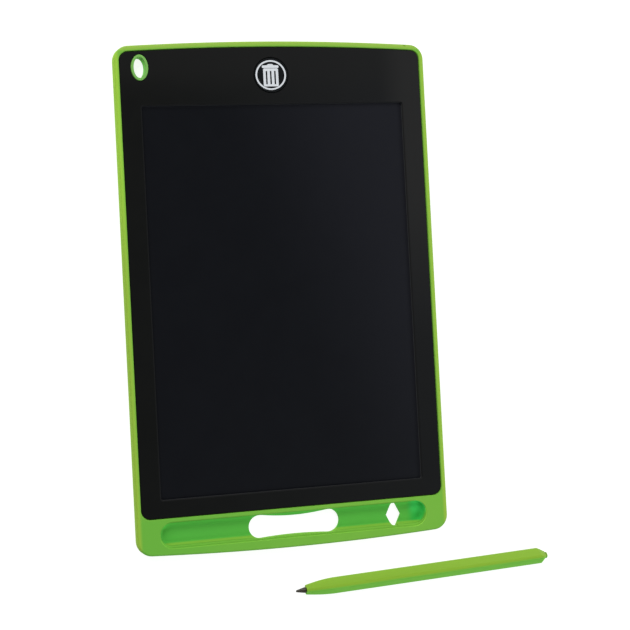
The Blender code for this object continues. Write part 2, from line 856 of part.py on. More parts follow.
def build_flex_tail(finish):
    """The flat tail that joins the films to the board, with a step down on its way."""
    landing_low = parts_low
    board_edge = button_y - board_below_button
    start = film_head + seat_gap
    path = [(start, front_film_low), (start + flex_run, front_film_low), (board_edge, landing_low),
            (board_edge + flex_landing, landing_low)]
    x_low = button_x + flex_shift - flex_width / 2
    x_high = x_low + flex_width
    side = path + [(y, z + flex_thickness) for y, z in reversed(path)]
    return loft("lcd_flex_tail", [[(x, y, z) for y, z in side] for x in (x_low, x_high)], finish)


def build_main_board(finish):
    """The circuit board, with its screw holes and the slot that the lock's stem passes."""
    left, right, low, high = board_plan()
    ring = rectangle_ring((left + right) / 2, (low + high) / 2, (right - left) / 2, (high - low) / 2,
                          board_corner)
    board = upright("main_board", ring, [(board_low, 0), (board_high, 0)], finish)
    through = flared_levels(board_low, board_high, 0, 0)
    for side, x, y in board_screw_places():
        cut(board, upright(f"board_hole_{side}", circle_ring(x, y, board_hole_radius), through))
    slot = box_ring(lock_x + lock_travel / 2, lock_y, (lock_stem_length + lock_travel) / 2 + seat_gap,
                    lock_barb_half_width() + seat_gap)
    cut(board, upright("board_lock_slot", slot, through))
    return board


def build_board_screws(finish):
    """Two pan-head screws that hold the board to its posts."""
    head_low = parts_low
    tip = head_block_high - board_screw_bite
    for side, x, y in board_screw_places():
        profile = [(board_screw_radius, tip), (board_screw_radius, head_low),
                   (board_screw_head_radius, head_low),
                   (board_screw_head_radius, head_low + board_screw_head_height / 2),
                   (board_screw_head_radius / 2, head_low + board_screw_head_height)]
        screw = turned(f"board_screw_{side}", profile, x, y, finish, small_circle_steps)
        cut_cross(screw, x, y, head_low + board_screw_head_height, board_screw_head_radius)


def cut_cross(screw, x, y, face, head_radius, up=1):
    """A cross recess in a screw's head, whose face looks up or down."""
    near = face - up * screw_slot_depth
    far = face + up * cutter_overrun
    reach = head_radius / 2
    for name, half_x, half_y in (("long", reach, screw_slot_width / 2), ("short", screw_slot_width / 2, reach)):
        ring = box_ring(x, y, half_x, half_y)
        cut(screw, upright(f"{screw.name}_{name}_slot", ring, [(min(near, far), 0), (max(near, far), 0)]))


def build_tact_switch(case_finish, plunger_finish):
    """The erase button's switch: a case with a round well and the plunger that stands in it."""
    case_high = parts_low + switch_height
    ring = rectangle_ring(button_x, button_y, switch_width / 2, switch_width / 2, switch_corner)
    case = upright("tact_switch_case", ring, [(parts_low, 0), (case_high, 0)], case_finish)
    well = circle_ring(button_x, button_y, switch_well_radius)
    well_low = parts_low + switch_base
    cut(case, upright("switch_well", well, [(well_low, 0), (case_high + cutter_overrun, 0)]))
    plunger_low = well_low + button_travel + seat_gap / 2
    plunger_high = button_under - seat_gap
    profile = [(plunger_radius, plunger_low), (plunger_radius, plunger_high - seat_gap / 2),
               (plunger_radius - seat_gap / 2, plunger_high)]
    plunger = turned("tact_switch_plunger", profile, button_x, button_y, plunger_finish, small_circle_steps)
    set_origin(plunger, (button_x, button_y, plunger_high))
    return case, plunger


def build_erase_button(finish):
    """The round cap, hollow underneath, with the flange that keeps it behind the panel."""
    inner = button_radius - button_wall
    outer = button_radius + button_flange
    quarter = math.pi / 2
    edge = [(button_radius - button_edge_radius * (1 - math.cos(a)),
             panel_high - button_edge_radius * (1 - math.sin(a)))
            for a in [quarter * i / edge_steps for i in range(edge_steps + 1)]]
    profile = [(inner / 2, button_under), (inner, button_under), (inner, flange_low), (outer, flange_low),
               (outer, flange_high), (button_radius, flange_high)] + edge
    button = turned("erase_button", profile, button_x, button_y, finish)
    set_origin(button, (button_x, button_y, flange_low))
    return button


def build_driver_chip(finish):
    """The screen driver: a moulded body with flat leads along two sides."""
    x = button_x + driver_chip_offset
    y = button_y + board_above_button / 2
    half_x = driver_chip_length / 2
    half_y = driver_chip_width / 2
    chip = upright("driver_chip", box_ring(x, y, half_x, half_y),
                   [(parts_low, screw_gap), (parts_low + driver_chip_height / 2, 0),
                    (parts_low + driver_chip_height, screw_gap)], finish)
    pitch = driver_chip_length / driver_leads_a_side
    for i in range(driver_leads_a_side):
        lead_x = x - half_x + (i + 1 / 2) * pitch
        ring = box_ring(lead_x, y, driver_lead_width / 2, half_y + driver_lead_reach)
        lead_high = parts_low + driver_chip_height / 2
        lead_levels = [(lead_high - driver_lead_thickness, 0), (lead_high, 0)]
        fuse(chip, upright(f"driver_lead_{i + 1}", ring, lead_levels))
    return chip


def build_inductor(finish):
    """The boost inductor: a bobbin with a narrower winding between two flanges."""
    x = button_x - inductor_offset
    low = parts_low
    high = parts_low + inductor_height
    profile = [(inductor_radius, low), (inductor_radius, low + inductor_flange),
               (inductor_waist_radius, low + inductor_flange), (inductor_waist_radius, high - inductor_flange),
               (inductor_radius, high - inductor_flange), (inductor_radius, high)]
    return turned("boost_inductor", profile, x, button_y, finish, small_circle_steps)


def build_capacitors(finish):
    """Two chip capacitors with raised end caps, above and below the inductor."""
    x = button_x - inductor_offset
    for name, sign in (("capacitor_upper", 1), ("capacitor_lower", -1)):
        y = button_y + sign * capacitor_pitch
        body = [(parts_low + capacitor_cap_step, 0), (parts_low + capacitor_height - capacitor_cap_step, 0)]
        waist_x = (capacitor_length - capacitor_cap) / 2
        waist = box_ring(x, y, waist_x, capacitor_width / 2 - capacitor_cap_step)
        chip = upright(name, waist, body, finish)
        for side in (-1, 1):
            cap_x = x + side * (capacitor_length - capacitor_cap) / 2
            cap = box_ring(cap_x, y, capacitor_cap / 2, capacitor_width / 2)
            tool = upright(f"{name}_cap_{side + 1}", cap, [(parts_low, 0), (parts_low + capacitor_height, 0)])
            fuse(chip, tool)


def build_lock(slider_finish, body_finish, actuator_finish):
    """The lock slider on the back, the switch that it works and the switch's actuator."""
    plate_high = lock_plate_high()
    stem_high = board_high
    slider = upright("lock_slider", lock_plate_ring(),
                     [(lock_plate_sink, 0), (plate_high, 0)], slider_finish)
    stem = box_ring(lock_x, lock_y, lock_stem_length / 2, lock_stem_width / 2)
    fuse(slider, upright("lock_stem", stem, [(plate_high - lock_plate_thickness / 2, 0), (stem_high, 0)]))
    barb_low = head_block_high + seat_gap
    barb = box_ring(lock_x, lock_y, lock_stem_length / 2, lock_barb_half_width())
    fuse(slider, upright("lock_barbs", barb, [(barb_low, 0), (barb_low + lock_barb_height, 0)]))
    pocket = box_ring(lock_x, lock_y, lock_pocket_size / 2, lock_pocket_size / 2)
    pocket_low = stem_high - lock_pocket_floor
    cut(slider, upright("lock_pocket", pocket, [(pocket_low, 0), (stem_high + cutter_overrun, 0)]))
    first = lock_x - lock_groove_pitch * (lock_grooves - 1) / 2
    for i in range(lock_grooves):
        groove = box_ring(first + i * lock_groove_pitch, lock_y, lock_groove_width / 2,
                          lock_plate_width / 2 - lock_groove_pitch)
        levels = [(lock_plate_sink - cutter_overrun, 0), (lock_plate_sink + lock_groove_depth, 0)]
        cut(slider, upright(f"lock_groove_{i + 1}", groove, levels))
    set_origin(slider, (lock_x, lock_y, plate_high))

    switch_low = parts_low
    switch_high = parts_low + lock_switch_height
    body_ring_maker = box_ring(lock_x + lock_travel / 2, lock_y, lock_switch_length / 2, lock_switch_width / 2)
    body = upright("lock_switch_body", body_ring_maker, [(switch_low, 0), (switch_high, 0)], body_finish)
    chamber = box_ring(lock_x + lock_travel / 2, lock_y, (lock_head_length + lock_travel) / 2 + seat_gap,
                       lock_head_width / 2 + seat_gap)
    cut(body, upright("lock_chamber", chamber,
                      [(switch_low - cutter_overrun, 0), (switch_high - lock_switch_roof, 0)]))

    head_high = switch_high - lock_switch_roof - seat_gap
    head = box_ring(lock_x, lock_y, lock_head_length / 2, lock_head_width / 2)
    actuator = upright("lock_switch_actuator", head, [(head_high - lock_head_height, 0), (head_high, 0)],
                       actuator_finish)
    tip = box_ring(lock_x, lock_y, lock_tip_size / 2, lock_tip_size / 2)
    tip_low = stem_high - lock_tip_engagement
    fuse(actuator, upright("lock_tip", tip, [(tip_low, 0), (head_high - lock_head_height / 2, 0)]))
    set_origin(actuator, (lock_x, lock_y, head_high))


def build_coin_cell(finish):
    """A coin cell: the wide can and, towards the front, the smaller raised cap."""
    step_high = cell_high - cell_step
    profile = [(cell_radius - cell_step, cell_low), (cell_radius, cell_low + cell_step),
               (cell_radius, step_high - cell_step), (cell_radius - cell_step, step_high),
               (cell_radius - cell_rim, step_high), (cell_radius - cell_rim, cell_high)]
    return turned("coin_cell", profile, cell_x, cell_y, finish)


def build_contacts(finish):
    """The leaf that presses on the cell's cap, and the clip against its side."""
    board_end = button_x + board_right_of_button
    leaf_low = contact_low
    leaf_y = cell_y + contact_offset
    half = contact_width / 2
    path = [(board_end - contact_landing, parts_low), (board_end, parts_low),
            (cell_x - bay_radius, leaf_low), (cell_x, leaf_low)]
    leaf = strip("battery_contact_negative", path, contact_thickness, leaf_y - half, leaf_y + half, finish)
    pad = circle_ring(cell_x, cell_y + contact_offset - contact_width, contact_pad_radius)
    fuse(leaf, upright("contact_pad", pad, [(leaf_low, 0), (leaf_low + contact_thickness, 0)]))
    dimple = circle_ring(cell_x, cell_y + contact_offset - contact_width, contact_dimple_radius)
    dimple_low = leaf_low - contact_dimple_depth
    dimple_levels = [(dimple_low, contact_dimple_depth), (leaf_low + contact_thickness / 2, 0)]
    fuse(leaf, upright("contact_dimple", dimple, dimple_levels))

    clip_y = cell_y - contact_offset
    reach = math.sqrt((cell_radius + seat_gap) ** 2 - (contact_offset - half) ** 2)
    side_x = cell_x - reach - contact_thickness
    top = parts_low + contact_thickness
    clip_low = head_block_high + seat_gap
    outline = [(board_end - contact_landing, parts_low), (side_x, parts_low),
               (side_x, clip_low), (side_x + contact_thickness, clip_low),
               (side_x + contact_thickness, top), (board_end - contact_landing, top)]
    loops = [[(x, y, z) for x, z in outline] for y in (clip_y - half, clip_y + half)]
    loft("battery_contact_positive", loops, finish)


def build_battery_door(finish, screw_finish):
    """The door with its tongue, spigot and screw ear, and its captive screw, on the hinge axis."""
    door = upright("battery_door", door_ring(), [(0, 0), (door_high, 0)], finish)
    spigot = circle_ring(cell_x, cell_y, bay_radius - seat_gap, circle_steps)
    spigot_low = door_high / 2
    fuse(door, upright("door_spigot", spigot, [(spigot_low, 0), (spigot_high, 0)]))
    well = circle_ring(cell_x, cell_y, bay_radius - seat_gap - door_spigot_wall, circle_steps)
    cut(door, upright("door_spigot_well", well, [(door_high, 0), (spigot_high + cutter_overrun, 0)]))
    ear = circle_ring(door_screw_x, cell_y, door_ear_radius)
    fuse(door, upright("door_ear", ear, [(spigot_low, 0), (door_ear_high, 0)]))
    head_seat = door_ear_high - door_ear_web
    counterbore = circle_ring(door_screw_x, cell_y, door_screw_head_radius + seat_gap)
    cut(door, upright("door_counterbore", counterbore, [(-cutter_overrun, 0), (head_seat, 0)]))
    hole = circle_ring(door_screw_x, cell_y, door_screw_radius + screw_gap)
    cut(door, upright("door_screw_hole", hole, [(-cutter_overrun, 0), (door_ear_high + cutter_overrun, 0)]))
    tongue_low = door_high + tongue_rise
    root = box_ring(door_left + tongue_root / 2 + seat_gap, cell_y, tongue_root / 2, tongue_width / 2)
    fuse(door, upright("tongue_root", root, [(spigot_low, 0), (tongue_low + tongue_thickness, 0)]))
    reach = (tongue_length + tongue_root) / 2
    tongue = box_ring(door_left - tongue_length + reach, cell_y, reach, tongue_width / 2)
    fuse(door, upright("door_tongue", tongue, [(tongue_low, 0), (tongue_low + tongue_thickness, 0)]))

    head_low = door_screw_head_sink
    head_high = head_low + door_screw_head_height
    head_mid = (head_low + head_high) / 2
    profile = [(door_screw_head_radius / 2, head_low), (door_screw_head_radius, head_mid),
               (door_screw_head_radius, head_high), (door_screw_radius, head_high),
               (door_screw_radius, head_high + door_screw_length)]
    screw = turned("battery_door_screw", profile, door_screw_x, cell_y, screw_finish, small_circle_steps)
    cut_cross(screw, door_screw_x, cell_y, head_low, door_screw_head_radius, -1)

    axis = (door_left, cell_y, door_hinge_height)
    hinge = bpy.data.objects.new("battery_door_hinge_axis", None)
    bpy.context.scene.collection.objects.link(hinge)
    hinge.location = axis
    for piece in (door, screw):
        piece.data.transform(Matrix.Translation(-Vector(axis)))
        piece.parent = hinge


def pen_axis_height():
    """Height of the stylus's axis above the surface that its flat side lies on."""
    return pen_corner_radius + pen_side / (2 * math.sqrt(3))


def pen_section(x, share, round_radius, slant=0):
    """One loop of the stylus: a rounded triangle that fades into a circle as the share falls.

    A slant leans the loop, so that it lies further along the axis on its -Y side.
    """
    core = share * pen_side / math.sqrt(3)
    radius = share * pen_corner_radius + (1 - share) * round_radius
    third = math.pi / 3
    loop = []
    for corner in range(3):
        aim = math.pi / 2 + 2 * corner * third
        loop += [(x - slant * y, y, z) for y, z in arc(core * math.cos(aim), core * math.sin(aim), radius,
                                                       aim - third, aim + third, corner_steps)]
    return loop


def pen_disc(x, radius):
    """One round loop across the stylus's axis."""
    turn = 2 * math.pi / small_circle_steps
    return [(x, radius * math.cos(turn * i), radius * math.sin(turn * i)) for i in range(small_circle_steps)]


def build_stylus(barrel_finish, nib_finish):
    """The three-sided barrel with its slanted tail, the dark nib in its nose and the plug in its tail."""
    axis = bpy.data.objects.new("stylus_axis", None)
    bpy.context.scene.collection.objects.link(axis)
    axis.location = (pen_x, pen_y, pen_axis_height())
    axis.rotation_euler = (0, 0, pen_turn)

    tip = -pen_length / 2
    end = pen_length / 2
    nose = tip + nib_reach
    tail = end - nub_reach
    loops = [pen_section(nose + along * nose_length, share, nose_radius) for along, share in nose_shares]
    for along, share in tail_shares:
        x = tail - tail_length + along * tail_length
        loops.append(pen_section(x, share, tail_radius, share * tail_slant_share))
    barrel = loft("pen_barrel", loops, barrel_finish)
    bore = loft("barrel_bore", [pen_disc(nose - cutter_overrun, barrel_bore_radius),
                                pen_disc(tail + cutter_overrun, barrel_bore_radius)])
    cut(barrel, bore)

    rounding = [pen_disc(tip + nib_tip_radius * (1 - share), nib_tip_radius * cover)
                for share, cover in reversed(tip_shares[:-1])]
    point = [pen_disc(tip, nib_tip_radius * tip_shares[-2][1] / 2)] + rounding
    base = nose - seat_gap
    nib = loft("pen_nib", point + [
        pen_disc(base, nib_base_radius), pen_disc(base, nib_shank_radius),
        pen_disc(nose + nib_shank_length, nib_shank_radius)], nib_finish)

    head = tail + seat_gap
    crown = [pen_disc(x, nub_radius - inset)
             for x, inset in rounded_levels(head, end, 0, nub_edge_radius)[1:]]
    plug = loft("pen_end_plug", [
        pen_disc(tail - nub_shank_length, nib_shank_radius), pen_disc(head, nib_shank_radius),
        pen_disc(head, nub_radius)] + crown, barrel_finish)
    for piece in (barrel, bore, nib, plug):
        piece.parent = axis


def build():
    """Make every piece of the tablet and its stylus."""
    clear_scene()
    green = material("green_abs", (0.24, 0.50, 0.045), 0.42)
    black = material("black_abs", (0.012, 0.012, 0.013), 0.5)
    dark_film = material("dark_film", (0.010, 0.011, 0.015), 0.35)
    grey_plate = material("grey_plate", (0.06, 0.06, 0.065), 0.6)
    green_board = material("board_green", (0.02, 0.12, 0.05), 0.5)
    steel = material("spring_steel", (0.62, 0.62, 0.60), 0.3, 1.0)
    chip_black = material("chip_black", (0.02, 0.02, 0.02), 0.6)
    ivory = material("switch_ivory", (0.75, 0.72, 0.62), 0.5)
    amber = material("flex_amber", (0.55, 0.27, 0.05), 0.4)
    nib_grey = material("nib_grey", (0.035, 0.03, 0.022), 0.45)

    build_rear_housing(green)
    build_front_panel(black)
    build_screen(grey_plate, dark_film, dark_film)
    build_flex_tail(amber)
    build_main_board(green_board)
    build_board_screws(steel)
    build_tact_switch(chip_black, ivory)
    build_erase_button(black)
    build_driver_chip(chip_black)
    build_inductor(chip_black)
    build_capacitors(ivory)
    build_lock(black, ivory, chip_black)
    build_coin_cell(steel)
    build_contacts(steel)
    build_battery_door(green, steel)
    build_stylus(green, nib_grey)


build()
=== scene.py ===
"""Looks of an LCD writing tablet and its loose stylus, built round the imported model.

Lengths are in metres, in the model's own frame: +X to the tablet's right, +Y towards its erase button and +Z out of
its screen. The tablet lies on its flat back at the origin, and the stylus lies beside its lower right corner.
"""

import logging
import math
from collections.abc import Callable, Sequence
from dataclasses import dataclass, field
from enum import Enum

import bmesh
import bpy
from mathutils import Matrix, Vector


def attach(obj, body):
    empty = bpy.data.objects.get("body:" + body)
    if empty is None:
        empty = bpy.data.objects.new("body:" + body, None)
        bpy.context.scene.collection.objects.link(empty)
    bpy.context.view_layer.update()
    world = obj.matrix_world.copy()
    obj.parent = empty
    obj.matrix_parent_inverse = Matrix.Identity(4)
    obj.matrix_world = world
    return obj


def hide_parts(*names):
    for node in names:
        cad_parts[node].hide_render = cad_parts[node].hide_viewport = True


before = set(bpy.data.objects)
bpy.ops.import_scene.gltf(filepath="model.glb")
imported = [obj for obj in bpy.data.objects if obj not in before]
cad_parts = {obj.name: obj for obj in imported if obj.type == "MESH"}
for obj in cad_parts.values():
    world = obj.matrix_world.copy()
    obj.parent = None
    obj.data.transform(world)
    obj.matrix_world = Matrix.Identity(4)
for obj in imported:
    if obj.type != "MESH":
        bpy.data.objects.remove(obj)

LOG = logging.getLogger("writing_tablet")

Point = tuple[float, float]
Span = tuple[float, float]
Spot = tuple[float, float, float]
Colour = tuple[float, float, float]
Level = float | tuple[float, float]
Ring = Callable[[float], list[Point]]

QUARTER = math.pi / 2
CORNER_STEPS = 14
BOW_STEPS = 48
EDGE_STEPS = 6
ROUND_STEPS = 128
SMALL_ROUND_STEPS = 48
ROD_STEPS = 20
TURNS = [QUARTER * i / EDGE_STEPS for i in range(EDGE_STEPS + 1)]
PAST = 0.001
MERGE = 0.000001


class Body(Enum):
    """The bodies of the model that the pieces ride on."""

    TABLET = "tablet"
    BUTTON = "button"
    LOCK = "lock"
    DOOR = "door"
    STYLUS = "stylus"


class Slot(Enum):
    """The record's material slots."""

    GREEN = "green_plastic"
    BLACK = "black_plastic"
    FILM = "screen_film"
    STEEL = "steel"
    INK = "ivory_plastic"
    NIB = "nib_plastic"


class Wire:
    """One output of a node tree, on which arithmetic adds Math nodes."""

    def __init__(self, graph: "Graph", socket: bpy.types.NodeSocket) -> None:
        """Keep the socket and the tree that it belongs to."""
        self.graph = graph
        self.socket = socket

    def math(self, operation: str, *values: "Wire | float") -> "Wire":
        """A Math node on the given values."""
        return self.graph.node("ShaderNodeMath", {"operation": operation}, dict(enumerate(values)))

    def __add__(self, other: "Wire | float") -> "Wire":
        """This plus the other."""
        return self.math("ADD", self, other)

    def __sub__(self, other: "Wire | float") -> "Wire":
        """This less the other."""
        return self.math("SUBTRACT", self, other)

    def __rsub__(self, other: float) -> "Wire":
        """A number less this."""
        return self.math("SUBTRACT", other, self)

    def __mul__(self, other: "Wire | float") -> "Wire":
        """This times the other."""
        return self.math("MULTIPLY", self, other)

    def __truediv__(self, other: "Wire | float") -> "Wire":
        """This over the other."""
        return self.math("DIVIDE", self, other)

    def __pow__(self, other: "Wire | float") -> "Wire":
        """This raised to a power."""
        return self.math("POWER", self, other)

    def larger(self, other: "Wire | float") -> "Wire":
        """The larger of this and the other."""
        return self.math("MAXIMUM", self, other)

    def size(self) -> "Wire":
        """This without its sign."""
        return self.math("ABSOLUTE", self)

    def step(self, start: float, end: float) -> "Wire":
        """A smooth step from 0 at the start to 1 at the end, which may lie below the start.

        Args:
            start: where the step starts.
            end: where it ends.

        Returns:
            The step, between 0 and 1.
        """
        rises = start < end
        limits = {1: min(start, end), 2: max(start, end), 3: float(not rises), 4: float(rises)}
        return self.graph.node("ShaderNodeMapRange", {"interpolation_type": "SMOOTHSTEP"}, {0: self, **limits})


class Graph:
    """A node tree under construction, of a material or of geometry nodes."""

    def __init__(self, tree: bpy.types.NodeTree) -> None:
        """Start from an empty tree."""
        self.tree = tree
        tree.nodes.clear()

    def node(self, kind: str, settings: dict[str, object], sockets: dict[int | str, object],
             out: int | str = 0) -> Wire:
        """Add a node of any kind.

        Args:
            kind: the node's type.
            settings: its own settings, made first.
            sockets: values or wires for its inputs, by index or name.
            out: the output that the wire starts from.

        Returns:
            A wire from the chosen output.
        """
        made = self.tree.nodes.new(kind)
        for name, value in settings.items():
            setattr(made, name, value)
        for key, value in sockets.items():
            if isinstance(value, Wire):
                self.tree.links.new(value.socket, made.inputs[key])
            else:
                made.inputs[key].default_value = value
        return Wire(self, made.outputs[out] if made.outputs else made.inputs[0])

    def place(self) -> Wire:
        """Object coordinates, in metres."""
        return self.node("ShaderNodeTexCoord", {}, {}, "Object")

    def vector(self, x: Wire | float = 0.0, y: Wire | float = 0.0, z: Wire | float = 0.0) -> Wire:
        """A vector of three parts."""
        return self.node("ShaderNodeCombineXYZ", {}, {0: x, 1: y, 2: z})

    def axes(self, vector: Wire | None = None) -> tuple[Wire, Wire, Wire]:
        """The three parts of a vector, or of the Object coordinates."""
        split = self.node("ShaderNodeSeparateXYZ", {}, {0: vector or self.place()}).socket.node
        return tuple(Wire(self, socket) for socket in split.outputs)

    def mapped(self, scale: Spot, centre: Spot = (0.0, 0.0, 0.0), turn: float = 0.0) -> Wire:
        """Object coordinates about a centre, turned about Z and stretched."""
        moved = self.node("ShaderNodeVectorMath", {"operation": "SUBTRACT"}, {0: self.place(), 1: centre})
        return self.node("ShaderNodeMapping", {}, {0: moved, 2: (0.0, 0.0, -turn), 3: scale})

    def noise(self, scale: float, detail: float = 2.0, vector: Wire | None = None) -> Wire:
        """Noise between 0 and 1, with so many features a metre, on the vector or on the Object coordinates."""
        sockets = {"Vector": vector or self.place(), "Scale": scale, "Detail": detail, "Roughness": 0.55}
        return self.node("ShaderNodeTexNoise", {}, sockets)

    def blend(self, factor: Wire | float, first: Wire | Colour, second: Wire | Colour) -> Wire:
        """A mix of two colours, with the first at a factor of 0 and the second at 1."""
        ends = [end if isinstance(end, Wire) else (*end, 1.0) for end in (first, second)]
        return self.node("ShaderNodeMix", {"data_type": "RGBA"}, {0: factor, 6: ends[0], 7: ends[1]}, 2)


@dataclass(frozen=True)
class Finish:
    """A moulded or pressed surface with a faint mottle, uneven gloss and a fine grain."""

    name: str
    colour: Colour
    shade: Colour
    roughness: float = 0.45
    gloss_spread: float = 0.06
    mottle_scale: float = 60.0
    mottle: Span = (0.3, 0.7)
    drift_ratio: float = 3.0
    grain_scale: float = 3200.0
    grain_depth: float = 0.000012
    grain_strength: float = 0.35
    metallic: float = 0.0
    specular: float = 0.5

    def paint(self, graph: Graph) -> Wire:
        """The base colour: a mottle between the finish's two colours."""
        return graph.blend(graph.noise(self.mottle_scale, 3.0).step(*self.mottle), self.colour, self.shade)

    def gloss(self, graph: Graph) -> Wire:
        """The roughness, which drifts a little over the surface."""
        drift = (graph.noise(self.mottle_scale * self.drift_ratio) - 0.5) * (2.0 * self.gloss_spread)
        return drift + (graph.noise(self.grain_scale / 2, 1.0) - 0.5) * self.gloss_spread + self.roughness

    def relief(self, graph: Graph) -> Wire:
        """The height of the grain, between 0 and 1."""
        return graph.noise(self.grain_scale)

    def material(self) -> bpy.types.Material:
        """Build the material.

        Returns:
            A material with one Principled shader.
        """
        made = bpy.data.materials.new(self.name)
        made.use_nodes = True
        graph = Graph(made.node_tree)
        bump = graph.node("ShaderNodeBump", {}, {
            "Strength": self.grain_strength, "Distance": self.grain_depth, "Height": self.relief(graph)})
        shader = graph.node("ShaderNodeBsdfPrincipled", {}, {
            "Base Color": self.paint(graph), "Roughness": self.gloss(graph), "Metallic": self.metallic,
            "Specular IOR Level": self.specular, "Normal": bump})
        graph.node("ShaderNodeOutputMaterial", {}, {0: shader})
        made.diffuse_color = (*self.colour, 1.0)
        return made


@dataclass(frozen=True)
class LimePlastic(Finish):
    """Lime ABS with painted shade that makes its recesses deeper and cooler, painted light on the tray's walls and in
    the eye's bore, and a painted highlight that makes the thin outer rim yellower.

    Each colour is followed by the smooth steps that bound its place.
    """

    # painted shade: the next three fields make the left of the bottom bar a slightly darker, cooler green
    left_bar_shade: Colour = (0.148, 0.455, 0.050)
    left_bar_shade_x: Span = (0.02, -0.07)
    left_bar_shade_y: Span = (-0.093, -0.097)
    # painted shade: the next two fields deepen the tray's recess by depth under the rim
    recess_shade: Colour = (0.096, 0.474, 0.060)
    recess_shade_z: Span = (0.0052, 0.0018)
    # painted light: the next two fields lift the lip's shade on the tray's upper side
    north_shadow_lift: Colour = (0.130, 0.640, 0.085)
    north_shadow_lift_y: Span = (-0.1010, -0.0990)
    # painted shade: the next two fields darken the tray's right end to teal
    end: Colour = (0.035, 0.500, 0.076)
    end_shade_x: Span = (0.0530, 0.0575)
    lit: Colour = (0.215, 0.470, 0.050)
    lit_y: Span = (-0.1062, -0.1070)
    tray_head: Span = (-0.0955, -0.0968)
    tray_foot: Span = (-0.1092, -0.1088)
    tray_side: Span = (0.0632, 0.0624)
    tray_back: Span = (0.0002, 0.0011)
    # painted light: the next four fields lift the shade on the tray recess's walls, more at the right
    wall: Colour = (0.370, 0.790, 0.095)
    wall_x: Span = (0.050, 0.058)
    wall_low: Span = (0.00455, 0.00475)
    wall_high: Span = (0.00549, 0.00532)
    # painted light: the next five fields lift the shade in the tray's lower right corner
    corner: Colour = (0.095, 0.900, 0.190)
    corner_x: Span = (0.0535, 0.0585)
    corner_y: Span = (-0.1045, -0.1000)
    corner_low: Span = (0.0010, 0.0014)
    corner_high: Span = (0.0050, 0.0045)
    # painted highlight: the next eight fields make the outer rim yellower, paler at the upper left and along the head
    edge: Colour = (0.330, 0.520, 0.054)
    rim_highlight_x: Span = (0.0694, 0.0711)
    lit_edge: Colour = (0.375, 0.640, 0.060)
    lit_edge_x: Span = (-0.060, -0.070)
    lit_edge_y: Span = (0.0, 0.06)
    head_rim_highlight: Colour = (0.330, 0.510, 0.085)
    head_rim_highlight_y: Span = (0.1104, 0.1120)
    head_curve: float = 0.405
    speckle_scale: float = 1400.0
    eye: Spot = (-0.0607, 0.1016, 0.0)
    eye_scale: Spot = (260.0, 174.0, 0.0)
    eye_back: Span = (0.0004, 0.0014)
    lip: Colour = (0.188, 0.462, 0.100)
    lip_reach: Span = (1.15, 1.02)
    # painted light: the next three fields lift the shade inside the eye's bore
    bore: Colour = (0.270, 0.700, 0.150)
    bore_reach: Span = (0.76, 0.70)
    bore_high: Span = (0.0053, 0.0048)
    textured_z: Span = (0.0052, 0.0046)

    def paint(self, graph: Graph) -> Wire:
        """The base colour, with painted shade by depth under the rim, painted light on the tray's walls and in the
        eye's bore, and a painted highlight near the outer edge.

        Args:
            graph: the material's tree.

        Returns:
            The colour.
        """
        x, y, z = graph.axes()
        # painted shade on the left of the bar
        body = graph.blend(x.step(*self.left_bar_shade_x) * y.step(*self.left_bar_shade_y), Finish.paint(self, graph), self.left_bar_shade)
        # the recess's painted shade, with painted light over the lip's shade on its upper side, painted shade at its
        # right end and painted light on its lower side
        recess = graph.blend(y.step(*self.north_shadow_lift_y), self.recess_shade, self.north_shadow_lift)
        recess = graph.blend(x.step(*self.end_shade_x), recess, self.end)
        recess = graph.blend(y.step(*self.lit_y), recess, self.lit)
        in_tray = y.step(*self.tray_head) * y.step(*self.tray_foot) * z.step(*self.tray_back)
        in_tray = in_tray * x.size().step(*self.tray_side)
        # painted shade laid on the recess by depth
        painted_shading = graph.blend(z.step(*self.recess_shade_z) * in_tray * 0.95, body, recess)
        # painted light on the recess walls and in its lower right corner
        wall_lift_mask = z.step(*self.wall_low) * z.step(*self.wall_high) * in_tray
        painted_shading = graph.blend(wall_lift_mask * (x.step(*self.wall_x) * 0.4 + 0.4), painted_shading, self.wall)
        corner_lift_mask = x.step(*self.corner_x) * y.step(*self.corner_y) * z.step(*self.corner_low)
        painted_shading = graph.blend(corner_lift_mask * z.step(*self.corner_high) * in_tray * 0.9, painted_shading, self.corner)
        # painted highlight along the outer rim and the head
        head = (y + x * x * self.head_curve).step(*self.head_rim_highlight_y)
        outer = x.size().step(*self.rim_highlight_x).larger(head)
        edge = graph.blend(x.step(*self.lit_edge_x) * y.step(*self.lit_edge_y), self.edge, self.lit_edge)
        speckle = graph.noise(self.speckle_scale, 1.0) * 0.08
        rim_highlighted = graph.blend(outer * (speckle + 0.75), painted_shading, graph.blend(head * 0.8, edge, self.head_rim_highlight))
        from_eye = graph.node("ShaderNodeVectorMath", {"operation": "LENGTH"}, {
            0: graph.mapped(self.eye_scale, self.eye)}, "Value")
        lipped = graph.blend(from_eye.step(*self.lip_reach) * z.step(*self.eye_back), rim_highlighted, self.lip)
        # painted light inside the eye's bore
        bore_lift_mask = from_eye.step(*self.bore_reach) * z.step(*self.eye_back) * z.step(*self.bore_high)
        return graph.blend(bore_lift_mask, lipped, self.bore)

    def gloss(self, graph: Graph) -> Wire:
        """The roughness, which is higher on the walls that the tool textures most."""
        return Finish.gloss(self, graph) + graph.axes()[2].step(*self.textured_z) * 0.45


